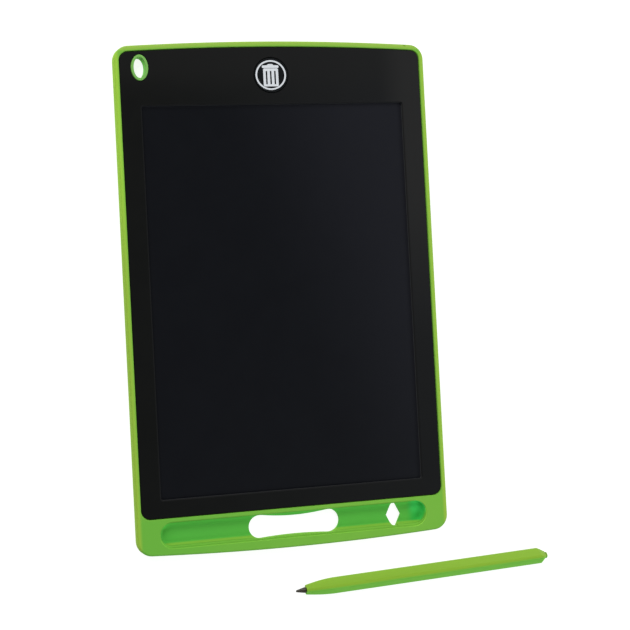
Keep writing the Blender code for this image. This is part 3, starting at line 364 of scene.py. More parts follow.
@dataclass(frozen=True)
class PenPlastic(Finish):
    """The same lime ABS on the stylus, with painted light that makes the side that faces the tablet yellower, as its
    lit side.
    """

    # painted light: the yellower colour of the lit side that faces the tablet
    edge: Colour = (0.245, 0.434, 0.035)
    centre: Spot = (0.0602, -0.13075, 0.0026)
    turn: float = math.radians(2.2)
    upper: Span = (-0.0007, 0.0002)
    streak_scale: Spot = (30.0, 700.0, 700.0)
    streaks: Span = (0.35, 0.7)

    def _lit_side(self, graph: Graph) -> Wire:
        """The painted lit side, which faces the tablet, as 1 and the shaded side as 0."""
        return graph.axes(graph.mapped((1.0, 1.0, 1.0), self.centre, self.turn))[1].step(*self.upper)

    def paint(self, graph: Graph) -> Wire:
        """The base colour, painted yellower on the lit side, with streaks along the barrel."""
        streaks = graph.noise(1.0, vector=graph.mapped(self.streak_scale, self.centre, self.turn)).step(*self.streaks)
        return graph.blend(self._lit_side(graph) * 0.92, graph.blend(streaks, self.colour, self.shade), self.edge)

    def gloss(self, graph: Graph) -> Wire:
        """The roughness, higher on the side away from the tablet."""
        return Finish.gloss(self, graph) + (1.0 - self._lit_side(graph)) * 0.35


@dataclass(frozen=True)
class MattePanel(Finish):
    """Matte black plate with a fine spark-eroded texture, with a painted reflection that makes it paler at its head and
    its upper right, and painted light that makes its window's edges paler.
    """

    # painted reflection: the next eight fields make the plate paler towards its right, its head and its upper right
    # edge
    right: Colour = (0.0080, 0.0086, 0.0096)
    right_sheen_x: Span = (-0.075, 0.075)
    right_sheen_y: Span = (-0.10, 0.05)
    head: Colour = (0.0100, 0.0100, 0.0098)
    head_sheen_y: Span = (0.086, 0.104)
    glow: Colour = (0.0155, 0.0156, 0.0157)
    glow_x: Span = (0.048, 0.064)
    glow_y: Span = (-0.03, 0.05)
    # painted light: the next four fields lift the shade on the window's bevel and on its walls
    bevel_shade_lift: Colour = (0.0135, 0.0140, 0.0146)
    bevel_shade_lift_z: Span = (0.00519, 0.00499)
    wall: Colour = (0.060, 0.062, 0.066)
    window_wall_lift_z: Span = (0.0047, 0.0044)
    fleck: Colour = (0.020, 0.020, 0.020)
    fleck_scale: float = 5200.0
    flecks: Span = (0.66, 0.8)

    def paint(self, graph: Graph) -> Wire:
        """The base colour: near black, with a painted reflection, painted light on the window's edges, and dust-fine
        flecks.

        Args:
            graph: the material's tree.

        Returns:
            The colour.
        """
        x, y, z = graph.axes()
        # painted reflection towards the right, the head and the upper right edge
        right_sheen_mask = x.step(*self.right_sheen_x) * (y.step(*self.right_sheen_y) * 0.45 + 0.55)
        body = graph.blend(right_sheen_mask, Finish.paint(self, graph), self.right)
        body = graph.blend(y.step(*self.head_sheen_y) * 0.5, body, self.head)
        body = graph.blend(x.step(*self.glow_x) * y.step(*self.glow_y), body, self.glow)
        # painted light over the shade on the window's bevel and walls
        body = graph.blend(z.step(*self.bevel_shade_lift_z) * 0.8, body, self.bevel_shade_lift)
        body = graph.blend(z.step(*self.window_wall_lift_z), body, self.wall)
        return graph.blend(graph.noise(self.fleck_scale, 1.0).step(*self.flecks) * 0.4, body, self.fleck)


@dataclass(frozen=True)
class ScreenSheet(Finish):
    """Dark pressure-sensitive film: bluish and even, with a painted reflection that makes it a little paler towards the
    upper right and painted light beside the window's walls.
    """

    # painted reflection: the next four fields make the film paler towards the upper right
    reflected_sheen: Colour = (0.0108, 0.0114, 0.0158)
    slope: Point = (0.8, 0.28)
    reflected_sheen_reach: Span = (-0.005, 0.065)
    cloud_scale: float = 26.0
    # painted light: the next three fields lift the shade beside the window's walls
    wall_shadow_lift: Colour = (0.0240, 0.0250, 0.0310)
    window: Point = (0.0605, 0.0847)
    wall_shadow_lift_reach: Span = (-0.0010, -0.0001)
    wave_scale: float = 45.0

    def paint(self, graph: Graph) -> Wire:
        """The base colour, which a painted reflection lightens slowly across the sheet, with painted light beside the
        window's walls.

        Args:
            graph: the material's tree.

        Returns:
            The colour.
        """
        x, y, _ = graph.axes()
        # painted reflection, growing towards the upper right
        drift = (x * self.slope[0] + y * self.slope[1]).step(*self.reflected_sheen_reach)
        cloud = graph.noise(self.cloud_scale) * 0.25
        sheet = graph.blend(drift * (cloud + 0.75), Finish.paint(self, graph), self.reflected_sheen)
        # painted light over the shade beside the window's walls
        wall_shadow_mask = (x - self.window[0]).larger(y - self.window[1]).step(*self.wall_shadow_lift_reach)
        return graph.blend(wall_shadow_mask * 0.5, sheet, self.wall_shadow_lift)

    def relief(self, graph: Graph) -> Wire:
        """Long shallow waves, as a film shows, under a fine tooth."""
        return graph.noise(self.wave_scale, 1.0) * 0.7 + graph.noise(self.grain_scale, 1.0) * 0.3


@dataclass(frozen=True)
class DrawnMetal(Finish):
    """Plated steel with fine lines along one direction."""

    stretch: Spot = (400.0, 9000.0, 9000.0)

    def relief(self, graph: Graph) -> Wire:
        """Fine drawn lines."""
        return graph.noise(1.0, vector=graph.mapped(self.stretch))


@dataclass(frozen=True)
class SolderMask(Finish):
    """Green board lacquer over copper tracks that run along the board."""

    copper: Colour = (0.05, 0.20, 0.07)
    track_scale: Spot = (140.0, 520.0, 1.0)
    track_edge: Span = (0.30, 0.34)

    def tracks(self, graph: Graph) -> Wire:
        """Tracks as 1 and bare board as 0."""
        sockets = {"Vector": graph.mapped(self.track_scale), "Scale": 1.0, "Randomness": 0.85}
        return graph.node("ShaderNodeTexVoronoi", {"distance": "CHEBYCHEV"}, sockets, "Distance").step(*self.track_edge)

    def paint(self, graph: Graph) -> Wire:
        """Lacquer, paler where it lies on a track."""
        return graph.blend(self.tracks(graph), Finish.paint(self, graph), self.copper)

    def relief(self, graph: Graph) -> Wire:
        """Tracks stand a little proud of the board."""
        return self.tracks(graph) * 0.8 + graph.noise(self.grain_scale, 1.0) * 0.2


@dataclass(frozen=True)
class Arc:
    """One arc of an outline. An inner arc leaves its ends to its neighbours, and a hollow one bulges inwards."""

    x: float
    y: float
    radius: float
    start: float
    end: float
    steps: int = CORNER_STEPS
    inner: bool = False
    hollow: bool = False

    def points(self, inset: float) -> list[Point]:
        """The arc's points when its outline is drawn in.

        Args:
            inset: how far the outline is drawn in.

        Returns:
            The points in order.
        """
        radius = self.radius + inset if self.hollow else self.radius - inset
        turn = (self.end - self.start) / max(self.steps, 1)
        angles = [self.start + turn * i for i in range(self.steps + 1)]
        points = [(self.x + radius * math.cos(a), self.y + radius * math.sin(a)) for a in angles]
        return points[1:-1] if self.inner else points


def outline(*arcs: Arc) -> Ring:
    """An outline maker, which gives the points of the arcs at an inset."""
    return lambda inset: [point for arc in arcs for point in arc.points(inset)]


def plate(half: float, head: float, head_bow: float | None, foot: float, foot_bow: float | None,
          corner: float) -> Ring:
    """Outline maker for a plate with straight sides and bowed or straight ends.

    Args:
        half: half of its width.
        head: its highest Y.
        head_bow: the radius of the upper end's bow, or None.
        foot: its lowest Y.
        foot_bow: the radius of the lower end's bow, or None.
        corner: the radius of its corners.

    Returns:
        A function that gives the outline at an inset.
    """
    arcs = []
    for side, apex, bow in ((1, head, head_bow), (-1, foot, foot_bow)):
        base = 0.0 if side > 0 else math.pi
        side_y, sweep, edge = apex - side * corner, QUARTER, []
        if bow:
            rise = math.sqrt((bow - corner) ** 2 - (half - corner) ** 2)
            side_y, sweep = apex - side * (bow - rise), math.atan2(rise, half - corner)
            edge = [Arc(0.0, apex - side * bow, bow, base + sweep, base + math.pi - sweep, BOW_STEPS, True)]
        arcs += [Arc(side * (half - corner), side_y, corner, base, base + sweep), *edge,
                 Arc(side * (corner - half), side_y, corner, base + math.pi - sweep, base + math.pi)]
    return outline(*arcs)


def rectangle(x: float, y: float, half_x: float, half_y: float, corner: float = 0.0,
              steps: int = CORNER_STEPS) -> Ring:
    """Outline maker for a rectangle, with the radius of its corners and the chords of each."""
    signs = ((1, 1), (-1, 1), (-1, -1), (1, -1))
    return outline(*[Arc(x + sx * (half_x - corner), y + sy * (half_y - corner), corner, i * QUARTER,
                         (i + 1) * QUARTER, steps if corner else 0) for i, (sx, sy) in enumerate(signs)])


def ellipse(x: float, y: float, half_x: float, half_y: float, steps: int = ROUND_STEPS) -> Ring:
    """Outline maker for an ellipse of so many chords."""
    angles = [2 * math.pi / steps * i for i in range(steps)]
    return lambda inset: [(x + (half_x - inset) * math.cos(a), y + (half_y - inset) * math.sin(a)) for a in angles]


def circle(x: float, y: float, radius: float, steps: int = SMALL_ROUND_STEPS) -> Ring:
    """Outline maker for a circle of so many chords."""
    return ellipse(x, y, radius, radius, steps)


def stadium(x: float, y: float, half_length: float, radius: float) -> Ring:
    """Outline maker for a slot along X with two round ends."""
    return outline(*[Arc(x + side * (half_length - radius), y, radius, QUARTER * start, QUARTER * (start + 2),
                         2 * CORNER_STEPS) for side, start in ((1, -1), (-1, 1))])


def dog_bone(x: float, y: float, half_length: float, lobe: float, rises: Point) -> Ring:
    """Outline maker for two round lobes along X, joined by a gently curved waist.

    Args:
        x: the centre's X.
        y: the centre's Y.
        half_length: half of its whole length.
        lobe: the radius of its lobes.
        rises: how far the waist's upper and lower sides draw in.

    Returns:
        A function that gives the outline at an inset.
    """
    lobe_x = half_length - lobe
    waists = []
    for rise in rises:
        radius = (lobe_x ** 2 + rise ** 2) / (2 * rise) - lobe
        reach = lobe - rise + radius
        waists.append((radius, reach, math.atan2(reach, lobe_x)))
    (upper, upper_y, upper_lean), (lower, lower_y, lower_lean) = waists
    steps = 2 * CORNER_STEPS
    return outline(
        Arc(x + lobe_x, y, lobe, lower_lean - math.pi, math.pi - upper_lean, steps),
        Arc(x, y + upper_y, upper, -upper_lean, upper_lean - math.pi, steps, True, True),
        Arc(x - lobe_x, y, lobe, upper_lean, 2 * math.pi - lower_lean, steps),
        Arc(x, y - lower_y, lower, math.pi - lower_lean, lower_lean, steps, True, True))


def hexagon(x: float, y: float, half: Point, flat: float) -> Ring:
    """Outline maker for a tall hexagon, by half its width and height and half of its short flats."""
    corners = ((1, 0, 0), (0, 1, 1), (0, -1, 1), (-1, 0, 0), (0, -1, -1), (0, 1, -1))
    return lambda inset: [(x + side * (half[0] - inset) + end * flat, y + level * (half[1] - inset))
                          for side, end, level in corners]


def rounding(face: float, radius: float, side: int = 1) -> list[Point]:
    """Heights and insets of a solid's rounded edge, from the bottom up.

    Args:
        face: the face's Z.
        radius: the edge's radius, or 0 for a sharp edge.
        side: 1 for an upper face and -1 for a lower one.

    Returns:
        Pairs of a height and an inset.
    """
    if not radius:
        return [(face, 0.0)]
    return [(face - side * radius * (1 - math.sin(a)), radius * (1 - math.cos(a))) for a in TURNS][::side]


def flare(face: float, radius: float = 0.0, side: int = 1) -> list[Point]:
    """Heights and insets with which a cutter rounds the edge that it leaves at a face, and runs past it.

    Args:
        face: the face's Z.
        radius: the edge's radius, or 0 for a sharp edge.
        side: 1 for an upper face and -1 for a lower one.

    Returns:
        Pairs of a height and an inset.
    """
    levels = [(z, -inset) for z, inset in rounding(face, radius, side)] if radius else []
    past = [(face + side * PAST, -radius)]
    return levels + past if side > 0 else past + levels


def put(name: str, data: bpy.types.ID) -> bpy.types.Object:
    """Put an object with this data into the scene.

    Args:
        name: the object's name.
        data: its mesh, light or camera.

    Returns:
        The object.
    """
    made = bpy.data.objects.new(name, data)
    bpy.context.scene.collection.objects.link(made)
    return made


def seal(builder: bmesh.types.BMesh, mesh: bpy.types.Mesh) -> bpy.types.Mesh:
    """Merge a builder's doubles, turn its faces outwards and write them into a mesh.

    Args:
        builder: the builder, which goes.
        mesh: the mesh that takes its faces.

    Returns:
        The mesh.
    """
    bmesh.ops.remove_doubles(builder, verts=builder.verts, dist=MERGE)
    bmesh.ops.recalc_face_normals(builder, faces=builder.faces)
    builder.to_mesh(mesh)
    builder.free()
    return mesh


class Form:
    """A closed solid that others are cut from or joined to before it becomes a piece."""

    def __init__(self, name: str, mesh: bpy.types.Mesh) -> None:
        """Put the mesh into the scene under a name."""
        self.item = put(name, mesh)
        self.tools: list[bpy.types.Object] = []

    @classmethod
    def loft(cls, name: str, loops: Sequence[Sequence[Spot]], closed: bool = False) -> "Form":
        """A solid through loops of equal counts.

        Args:
            name: the object's name.
            loops: the loops in order.
            closed: whether the last loop joins the first, instead of a cap on each.

        Returns:
            The solid.
        """
        builder = bmesh.new()
        rows = [[builder.verts.new(point) for point in loop] for loop in loops]
        for low, high in zip(rows, rows[1:] + rows[:1] if closed else rows[1:]):
            for i, corner in enumerate(low):
                j = (i + 1) % len(low)
                builder.faces.new((corner, low[j], high[j], high[i]))
        if not closed:
            builder.faces.new(list(reversed(rows[0])))
            builder.faces.new(rows[-1])
        return cls(name, seal(builder, bpy.data.meshes.new(name)))

    @classmethod
    def upright(cls, name: str, ring: Ring, *levels: Level) -> "Form":
        """A solid that stands on its outline, by its heights, or pairs of a height and an inset, from the bottom."""
        pairs = [level if isinstance(level, tuple) else (level, 0.0) for level in levels]
        return cls.loft(name, [[(x, y, z) for x, y in ring(inset)] for z, inset in pairs])

    @classmethod
    def turned(cls, name: str, profile: Sequence[Point], x: float, y: float, steps: int = ROUND_STEPS) -> "Form":
        """A solid of revolution on an upright axis, from pairs of a radius and a height."""
        return cls.loft(name, [[(*point, z) for point in circle(x, y, radius, steps)(0.0)] for radius, z in profile])

    @classmethod
    def spindle(cls, name: str, profile: Sequence[Point]) -> "Form":
        """A solid of revolution on the X axis, from pairs of a place and a radius."""
        return cls.loft(name, [[(x, *point) for point in circle(0.0, 0.0, radius)(0.0)] for x, radius in profile])

    @classmethod
    def hoop(cls, name: str, outer: Ring, inner: Ring, low: float, high: float) -> "Form":
        """A flat frame between two outlines of equal counts."""
        corners = ((outer, low), (outer, high), (inner, high), (inner, low))
        return cls.loft(name, [[(*point, z) for point in ring(0.0)] for ring, z in corners], True)

    def _combine(self, tool: "Form", operation: str) -> "Form":
        """Add a Boolean with the tool, which goes when the form settles.

        Args:
            tool: the other form.
            operation: the Boolean's operation.

        Returns:
            This form.
        """
        step = self.item.modifiers.new(tool.item.name, "BOOLEAN")
        step.operation = operation
        step.solver = "EXACT"
        step.object = tool.item
        self.tools.append(tool.item)
        return self

    def cut(self, tool: "Form") -> "Form":
        """Take the tool's shape out of this one."""
        return self._combine(tool, "DIFFERENCE")

    def join(self, tool: "Form") -> "Form":
        """Add the tool's shape to this one."""
        return self._combine(tool, "UNION")

    def take(self, name: str, ring: Ring, *levels: Level) -> "Form":
        """Take an upright solid out of this one."""
        return self.cut(Form.upright(name, ring, *levels))

    def add(self, name: str, ring: Ring, *levels: Level) -> "Form":
        """Add an upright solid to this one."""
        return self.join(Form.upright(name, ring, *levels))

    def move(self, matrix: Matrix) -> "Form":
        """Move or turn the mesh itself, so that its object stays at the origin."""
        self.item.data.transform(matrix)
        return self

    def settle(self, crease: float = 34.0) -> "Form":
        """Turn the modifiers' result into a plain mesh and shade it.

        Args:
            crease: the angle in degrees past which an edge stays sharp.

        Returns:
            This form, without its tools.
        """
        self.bake()
        for tool in self.tools:
            bpy.data.objects.remove(tool, do_unlink=True)
        self.tools.clear()
        self.item.data.shade_smooth()
        self.item.data.set_sharp_from_angle(angle=math.radians(crease))
        weighted = self.item.modifiers.new("even_normals", "WEIGHTED_NORMAL")
        weighted.keep_sharp = True
        weighted.weight = 100
        self.bake()
        return self

    def bake(self) -> None:
        """Replace the mesh by what the modifiers make of it."""
        bpy.context.view_layer.update()
        graph = bpy.context.evaluated_depsgraph_get()
        mesh = bpy.data.meshes.new_from_object(self.item.evaluated_get(graph))
        mesh.name = self.item.name
        self.item.modifiers.clear()
        self.item.data = mesh

    def dress(self, finish: bpy.types.Material, body: Body, slot: Slot, *nodes: str) -> None:
        """Finish the piece and hand it to the model.

        Args:
            finish: its material.
            body: the body that it rides on.
            slot: not used.
            nodes: the model's nodes that it stands for.
        """
        piece = self.item
        piece.data.materials.clear()
        piece.data.materials.append(finish)
        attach(piece, body.value)
        if nodes:
            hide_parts(*nodes)
        LOG.info("%s: %d faces on %s", piece.name, len(piece.data.polygons), body.value)


class NodeShape:
    """A shape that a Geometry Nodes tree makes from named sizes."""

    def __init__(self, name: str, sizes: dict[str, float | int | Spot]) -> None:
        """Start a tree with one input for each size.

        Args:
            name: the shape's name.
            sizes: the sizes by name; whole numbers make integer inputs and triples make vectors.
        """
        self.name = name
        self.sizes = sizes
        self.tree = bpy.data.node_groups.new(name, "GeometryNodeTree")
        self.graph = Graph(self.tree)
        self.keys: dict[str, str] = {}
        for label, value in sizes.items():
            kind = {int: "NodeSocketInt", float: "NodeSocketFloat", tuple: "NodeSocketVector"}[type(value)]
            socket = self.tree.interface.new_socket(label, in_out="INPUT", socket_type=kind)
            self.keys[label] = socket.identifier
        self.tree.interface.new_socket("Shape", in_out="OUTPUT", socket_type="NodeSocketGeometry")
        self.source = self.tree.nodes.new("NodeGroupInput")

    def size(self, label: str) -> Wire:
        """The wire of one named size."""
        return Wire(self.graph, self.source.outputs[label])

    def form(self, shape: Wire, finish: bpy.types.Material) -> Form:
        """End the tree and turn its result into a plain mesh.

        Args:
            shape: the geometry that the tree makes.
            finish: the material that it sets.

        Returns:
            A form with the finished mesh and no modifier.
        """
        real = self.graph.node("GeometryNodeRealizeInstances", {}, {0: shape})
        dressed = self.graph.node("GeometryNodeSetMaterial", {}, {"Geometry": real, "Material": finish})
        self.graph.node("NodeGroupOutput", {}, {0: dressed})
        made = Form(self.name, bpy.data.meshes.new(self.name))
        modifier = made.item.modifiers.new(self.name, "NODES")
        modifier.node_group = self.tree
        for label, value in self.sizes.items():
            modifier[self.keys[label]] = value
        made.bake()
        builder = bmesh.new()
        builder.from_mesh(made.item.data)
        seal(builder, made.item.data)
        return made


def rod_row(name: str, start: Spot, pitch: float, count: int, radius: float, length: float,
            finish: bpy.types.Material) -> Form:
    """A row of rods along X, made with Geometry Nodes, for the slots and grooves that they cut.

    Args:
        name: the shape's name.
        start: the first rod's centre.
        pitch: the step from rod to rod along X.
        count: how many rods there are.
        radius: the rods' radius.
        length: their length along Y.
        finish: the material that the tree sets.

    Returns:
        The rods as one form.
    """
    shape = NodeShape(name, {"Start": start, "Pitch": pitch, "Count": count, "Radius": radius, "Length": length})
    graph, size = shape.graph, shape.size
    row = graph.node("GeometryNodeMeshLine", {"mode": "OFFSET"}, {
        "Count": size("Count"), "Start Location": size("Start"), "Offset": graph.vector(size("Pitch"))})
    half = size("Length") * 0.5
    spine = graph.node("GeometryNodeCurvePrimitiveLine", {"mode": "POINTS"}, {
        "Start": graph.vector(0.0, half * -1.0), "End": graph.vector(0.0, half)})
    section = graph.node("GeometryNodeCurvePrimitiveCircle", {"mode": "RADIUS"}, {
        "Resolution": ROD_STEPS, "Radius": size("Radius")})
    rod = graph.node("GeometryNodeCurveToMesh", {}, {"Curve": spine, "Profile Curve": section, "Fill Caps": True})
    placed = graph.node("GeometryNodeInstanceOnPoints", {}, {"Points": row, "Instance": rod})
    return shape.form(placed, finish)


@dataclass(frozen=True)
class TabletPlan:
    """Sizes that several of the tablet's pieces share."""

    gap: float = 0.0003
    half_width: float = 0.072
    half_length: float = 0.113
    thickness: float = 0.0055
    bow: float = 0.0021
    rim: float = 0.0022
    head_rim: float = 0.0024
    pocket_foot: float = -0.0955
    panel_corner: float = 0.0039
    panel_low: float = 0.0042
    panel_high: float = 0.0052
    window_half: float = 0.0605
    window_low: float = -0.0874
    window_high: float = 0.0847
    window_corner: float = 0.0008
    film_half: float = 0.0630
    film_foot_margin: float = 0.0025
    film_head_margin: float = 0.0012
    film_corner: float = 0.0010
    eye: Point = (-0.0607, 0.1016)
    eye_half: Point = (0.0026, 0.0045)
    eye_wall: float = 0.00125
    button: Point = (-0.0011, 0.0978)
    button_radius: float = 0.0078
    lock: Point = (-0.0356, 0.0978)
    lock_half: Point = (0.00425, 0.0026)
    lock_corner: float = 0.0012
    lock_travel: float = 0.0020
    cell: Point = (0.0360, 0.0981)
    bay_radius: float = 0.0104
    door_left: float = 0.0212
    door_right: float = 0.0538
    door_half_height: float = 0.0108
    door_corner: float = 0.0020
    door_high: float = 0.0007
    recess_edge: float = 0.00015
    tongue_rise: float = 0.00005
    door_screw_x: float = 0.0503
    ear_radius: float = 0.0026
    ear_high: float = 0.0015

    @property
    def bow_radius(self) -> float:
        """Radius of the bowed ends."""
        return (self.half_width ** 2 + self.bow ** 2) / (2 * self.bow)

    @property
    def film(self) -> Span:
        """Lowest and highest Y of the films."""
        return self.window_low - self.film_foot_margin, self.window_high + self.film_head_margin

    def eye_ring(self, extra: float = 0.0) -> Ring:
        """Outline of the lanyard eye, grown by a margin."""
        return ellipse(*self.eye, self.eye_half[0] + extra, self.eye_half[1] + extra)

    def window_ring(self, extra: float = 0.0) -> Ring:
        """Outline of the panel's window, grown by a margin."""
        low, high = self.window_low, self.window_high
        return rectangle(0.0, (low + high) / 2, self.window_half + extra, (high - low) / 2 + extra,
                         self.window_corner + extra)

    def film_ring(self, extra: float = 0.0) -> Ring:
        """Outline of the films, grown by a margin."""
        low, high = self.film
        return rectangle(0.0, (high + low) / 2, self.film_half + extra, (high - low) / 2 + extra,
                         self.film_corner + extra)

    def pocket_ring(self, extra: float = 0.0) -> Ring:
        """Outline of the pocket that takes the panel, shrunk by a margin for the panel itself."""
        return plate(self.half_width - self.rim - extra, self.half_length - self.head_rim - extra,
                     self.bow_radius - self.head_rim - extra, self.pocket_foot + extra, None,
                     self.panel_corner + self.gap - extra)

    def door_ring(self, extra: float = 0.0) -> Ring:
        """Outline of the battery door, grown by a margin."""
        left, right = self.door_left, self.door_right
        return rectangle((left + right) / 2, self.cell[1], (right - left) / 2 + extra,
                         self.door_half_height + extra, self.door_corner + extra)

    def cell_ring(self, extra: float = 0.0) -> Ring:
        """Outline of the cell's round bay, grown by a margin."""
        return circle(*self.cell, self.bay_radius + extra, ROUND_STEPS)

    def screw_ring(self, radius: float) -> Ring:
        """A circle round the axis of the door's screw."""
        return circle(self.door_screw_x, self.cell[1], radius)


PLAN = TabletPlan()


@dataclass
class RearHousing:
    """The green shell: rim, bottom bar with the pen tray, lanyard eye and everything moulded inside."""

    plan: TabletPlan
    finish: bpy.types.Material
    shell: Form = field(init=False)
    corner: float = 0.0066
    back_edge: float = 0.0012
    rim_edge: float = 0.0009
    inner_edge: float = 0.0004
    ledge: float = 0.0008
    floor: float = 0.0012
    root: float = 0.0006
    block_high: float = 0.0017
    screen_wall: float = 0.0008
    screen_wall_rise: float = 0.0016
    rib_half: float = 0.0004
    rib_rise: float = 0.0007
    rib_rows: int = 6
    rib_columns: int = 3
    eye_lip: float = 0.00035
    post_radius: float = 0.0019
    posts: tuple[Point, ...] = ((-0.021, 0.0052), (0.0184, 0.0))
    pilot_radius: float = 0.00075
    pilot_depth: float = 0.0009
    bay_high: float = 0.0028
    bay_block: float = 0.0016
    bay_wall: float = 0.0009
    turret_wall: float = 0.001
    boss_radius: float = 0.0022
    boss_high: float = 0.0036
    boss_pilot_radius: float = 0.00095
    boss_pilot_high: float = 0.0034
    tongue_slot: Spot = (0.00035, 0.00145, 0.0033)
    tongue_slot_height: float = 0.00095
    contact_notch: Point = (0.00045, 0.0042)
    contact_notch_half: Point = (0.00135, 0.003)
    lock_block: float = 0.0014
    lock_recess: float = 0.0010
    lock_slot: Point = (0.0027, 0.0015)
    core_wall: float = 0.0016
    core_rise: float = 0.0030
    core_half_height: float = 0.0024
    core_corner: float = 0.0022
    core_high: float = 0.0041
    core_edge: float = 0.0002
    tray: Point = (0.0, -0.10295)
    tray_half_length: float = 0.0618
    tray_radius: float = 0.0057
    tray_edge: float = 0.0004
    shelf: float = 0.0046
    trough_y: float = -0.10255
    trough_inset: float = 0.0003
    trough_radius: float = 0.0050
    trough_floor: float = 0.0014
    trough_fillet: float = 0.0018
    trough_lip: float = 0.0003
    hole_y: float = -0.10305
    finger_half_length: float = 0.0211
    finger_lobe: float = 0.00515
    finger_rises: Point = (0.0013, 0.00065)
    hex_x: float = 0.0471
    hex_half: Point = (0.00355, 0.00515)
    hex_flat: float = 0.001
    notch_from_side: float = 0.009
    notch_half: float = 0.00065
    notch_depth: float = 0.0009
    notch_height: float = 0.0008

    def build(self) -> None:
        """Make the whole shell and dress it."""
        plan = self.plan
        ends = plan.bow_radius
        self.shell = Form.upright(
            "shell_body", plate(plan.half_width, plan.half_length, ends, -plan.half_length, ends, self.corner),
            *rounding(0.0, self.back_edge, -1), *rounding(plan.thickness, self.rim_edge))
        seat = plan.panel_low - plan.gap
        self.shell.take("panel_pocket", plan.pocket_ring(), seat, *flare(plan.thickness, self.inner_edge))
        self.shell.take("cavity", plan.pocket_ring(self.ledge), self.floor, seat + plan.gap)
        self._screen_seat()
        self._eye()
        self._posts()
        self._battery_bay()
        self._lock_recess()
        self._bar_cores()
        self._tray()
        self._notch()
        self.shell.settle().dress(self.finish, Body.TABLET, Slot.GREEN, "rear_housing")

    def _sunk(self, name: str, ring: Ring, top: float, edge: float) -> None:
        """Take a blind recess with a rounded edge out of the back."""
        self.shell.take(name, ring, *flare(0.0, edge, -1)[:-1], top)

    def _screen_seat(self) -> None:
        """Low ribs that carry the screen's plate, inside a wall that locates it."""
        plan = self.plan
        self.shell.join(Form.hoop("screen_wall", plan.film_ring(plan.gap + self.screen_wall),
                                  plan.film_ring(plan.gap), self.root, self.floor + self.screen_wall_rise))
        low, high = plan.film
        half_x, half_y = plan.film_half + self.screen_wall, (high - low) / 2 + self.screen_wall
        rings = [rectangle(0.0, low + (i + 1) * (high - low) / (self.rib_rows + 1), half_x, self.rib_half)
                 for i in range(self.rib_rows)]
        rings += [rectangle(-plan.film_half + (i + 1) * 2 * plan.film_half / (self.rib_columns + 1),
                            (low + high) / 2, self.rib_half, half_y) for i in range(self.rib_columns)]
        for ring in rings:
            self.shell.add("rib", ring, self.root, self.floor + self.rib_rise)

    def _eye(self) -> None:
        """An oval tube through the panel, with rounded lips."""
        plan = self.plan
        top, lip = plan.thickness, self.eye_lip
        self.shell.add("eye_tube", plan.eye_ring(plan.eye_wall), self.root, *rounding(top, lip))
        self.shell.take("eye_hole", plan.eye_ring(), *flare(0.0, lip, -1), *flare(top, lip))

    def _posts(self) -> None:
        """Two screw posts under the main board, placed from the button."""
        high = self.block_high
        for dx, dy in self.posts:
            x, y = self.plan.button[0] + dx, self.plan.button[1] + dy
            self.shell.add("post", circle(x, y, self.post_radius), self.root, high)
            self.shell.take("pilot", circle(x, y, self.pilot_radius), high - self.pilot_depth, high + PAST)

    def _battery_bay(self) -> None:
        """The cell's round bay, the door's seat round it, and the turret and boss of the door's screw."""
        plan, shell = self.plan, self.shell
        x, y = plan.cell
        ear_high = plan.ear_high + plan.gap
        shell.add("bay_block", plan.door_ring(plan.gap + self.bay_block), self.root, self.block_high)
        shell.add("bay_tube", plan.cell_ring(self.bay_wall), self.root, self.bay_high)
        shell.add("turret", plan.screw_ring(plan.ear_radius + plan.gap + self.turret_wall), self.root,
                  ear_high + self.turret_wall)
        shell.add("boss", plan.screw_ring(self.boss_radius), self.root, self.boss_high)
        self._sunk("door_recess", plan.door_ring(plan.gap), plan.door_high + plan.gap, plan.recess_edge)
        shell.take("bay_hole", plan.cell_ring(), -PAST, self.bay_high + PAST)
        shell.take("ear_recess", plan.screw_ring(plan.ear_radius + plan.gap), -PAST, ear_high)
        shell.take("screw_pilot", plan.screw_ring(self.boss_pilot_radius), -PAST, self.boss_pilot_high)
        shift, *slot_half = self.tongue_slot
        slot_low = plan.door_high + plan.tongue_rise - plan.gap
        shell.take("tongue_slot", rectangle(plan.door_left + shift, y, *slot_half), slot_low,
                   slot_low + self.tongue_slot_height)
        dx, dy = self.contact_notch
        shell.take("contact_notch", rectangle(x - plan.bay_radius - dx, y - dy, *self.contact_notch_half),
                   self.block_high, self.bay_high + PAST)

    def _lock_recess(self) -> None:
        """A shallow recess on the back for the lock slider, with a slot for its stem."""
        plan = self.plan
        x, y = plan.lock[0] + plan.lock_travel / 2, plan.lock[1]
        half_x, half_y = plan.lock_half[0] + plan.lock_travel / 2 + plan.gap, plan.lock_half[1] + plan.gap
        self.shell.add("lock_block", rectangle(x, y, half_x + self.lock_block, half_y + self.lock_block,
                                               plan.lock_corner), self.root, self.block_high)
        self._sunk("lock_recess", rectangle(x, y, half_x, half_y, plan.lock_corner), self.lock_recess,
                   plan.recess_edge)
        self.shell.take("lock_slot", rectangle(x, y, *self.lock_slot), -PAST, self.block_high + PAST)

    def _bar_cores(self) -> None:
        """Pockets under the thick ends of the bottom bar, two a side with a rib between them."""
        inner = self.tray_half_length + self.core_wall
        outer = self.plan.half_width - self.core_wall
        for side, row in ((-1, -1), (-1, 1), (1, -1), (1, 1)):
            ring = rectangle(side * (inner + outer) / 2, self.tray[1] + row * self.core_rise, (outer - inner) / 2,
                             self.core_half_height, self.core_corner)
            self._sunk("core", ring, self.core_high, self.core_edge)

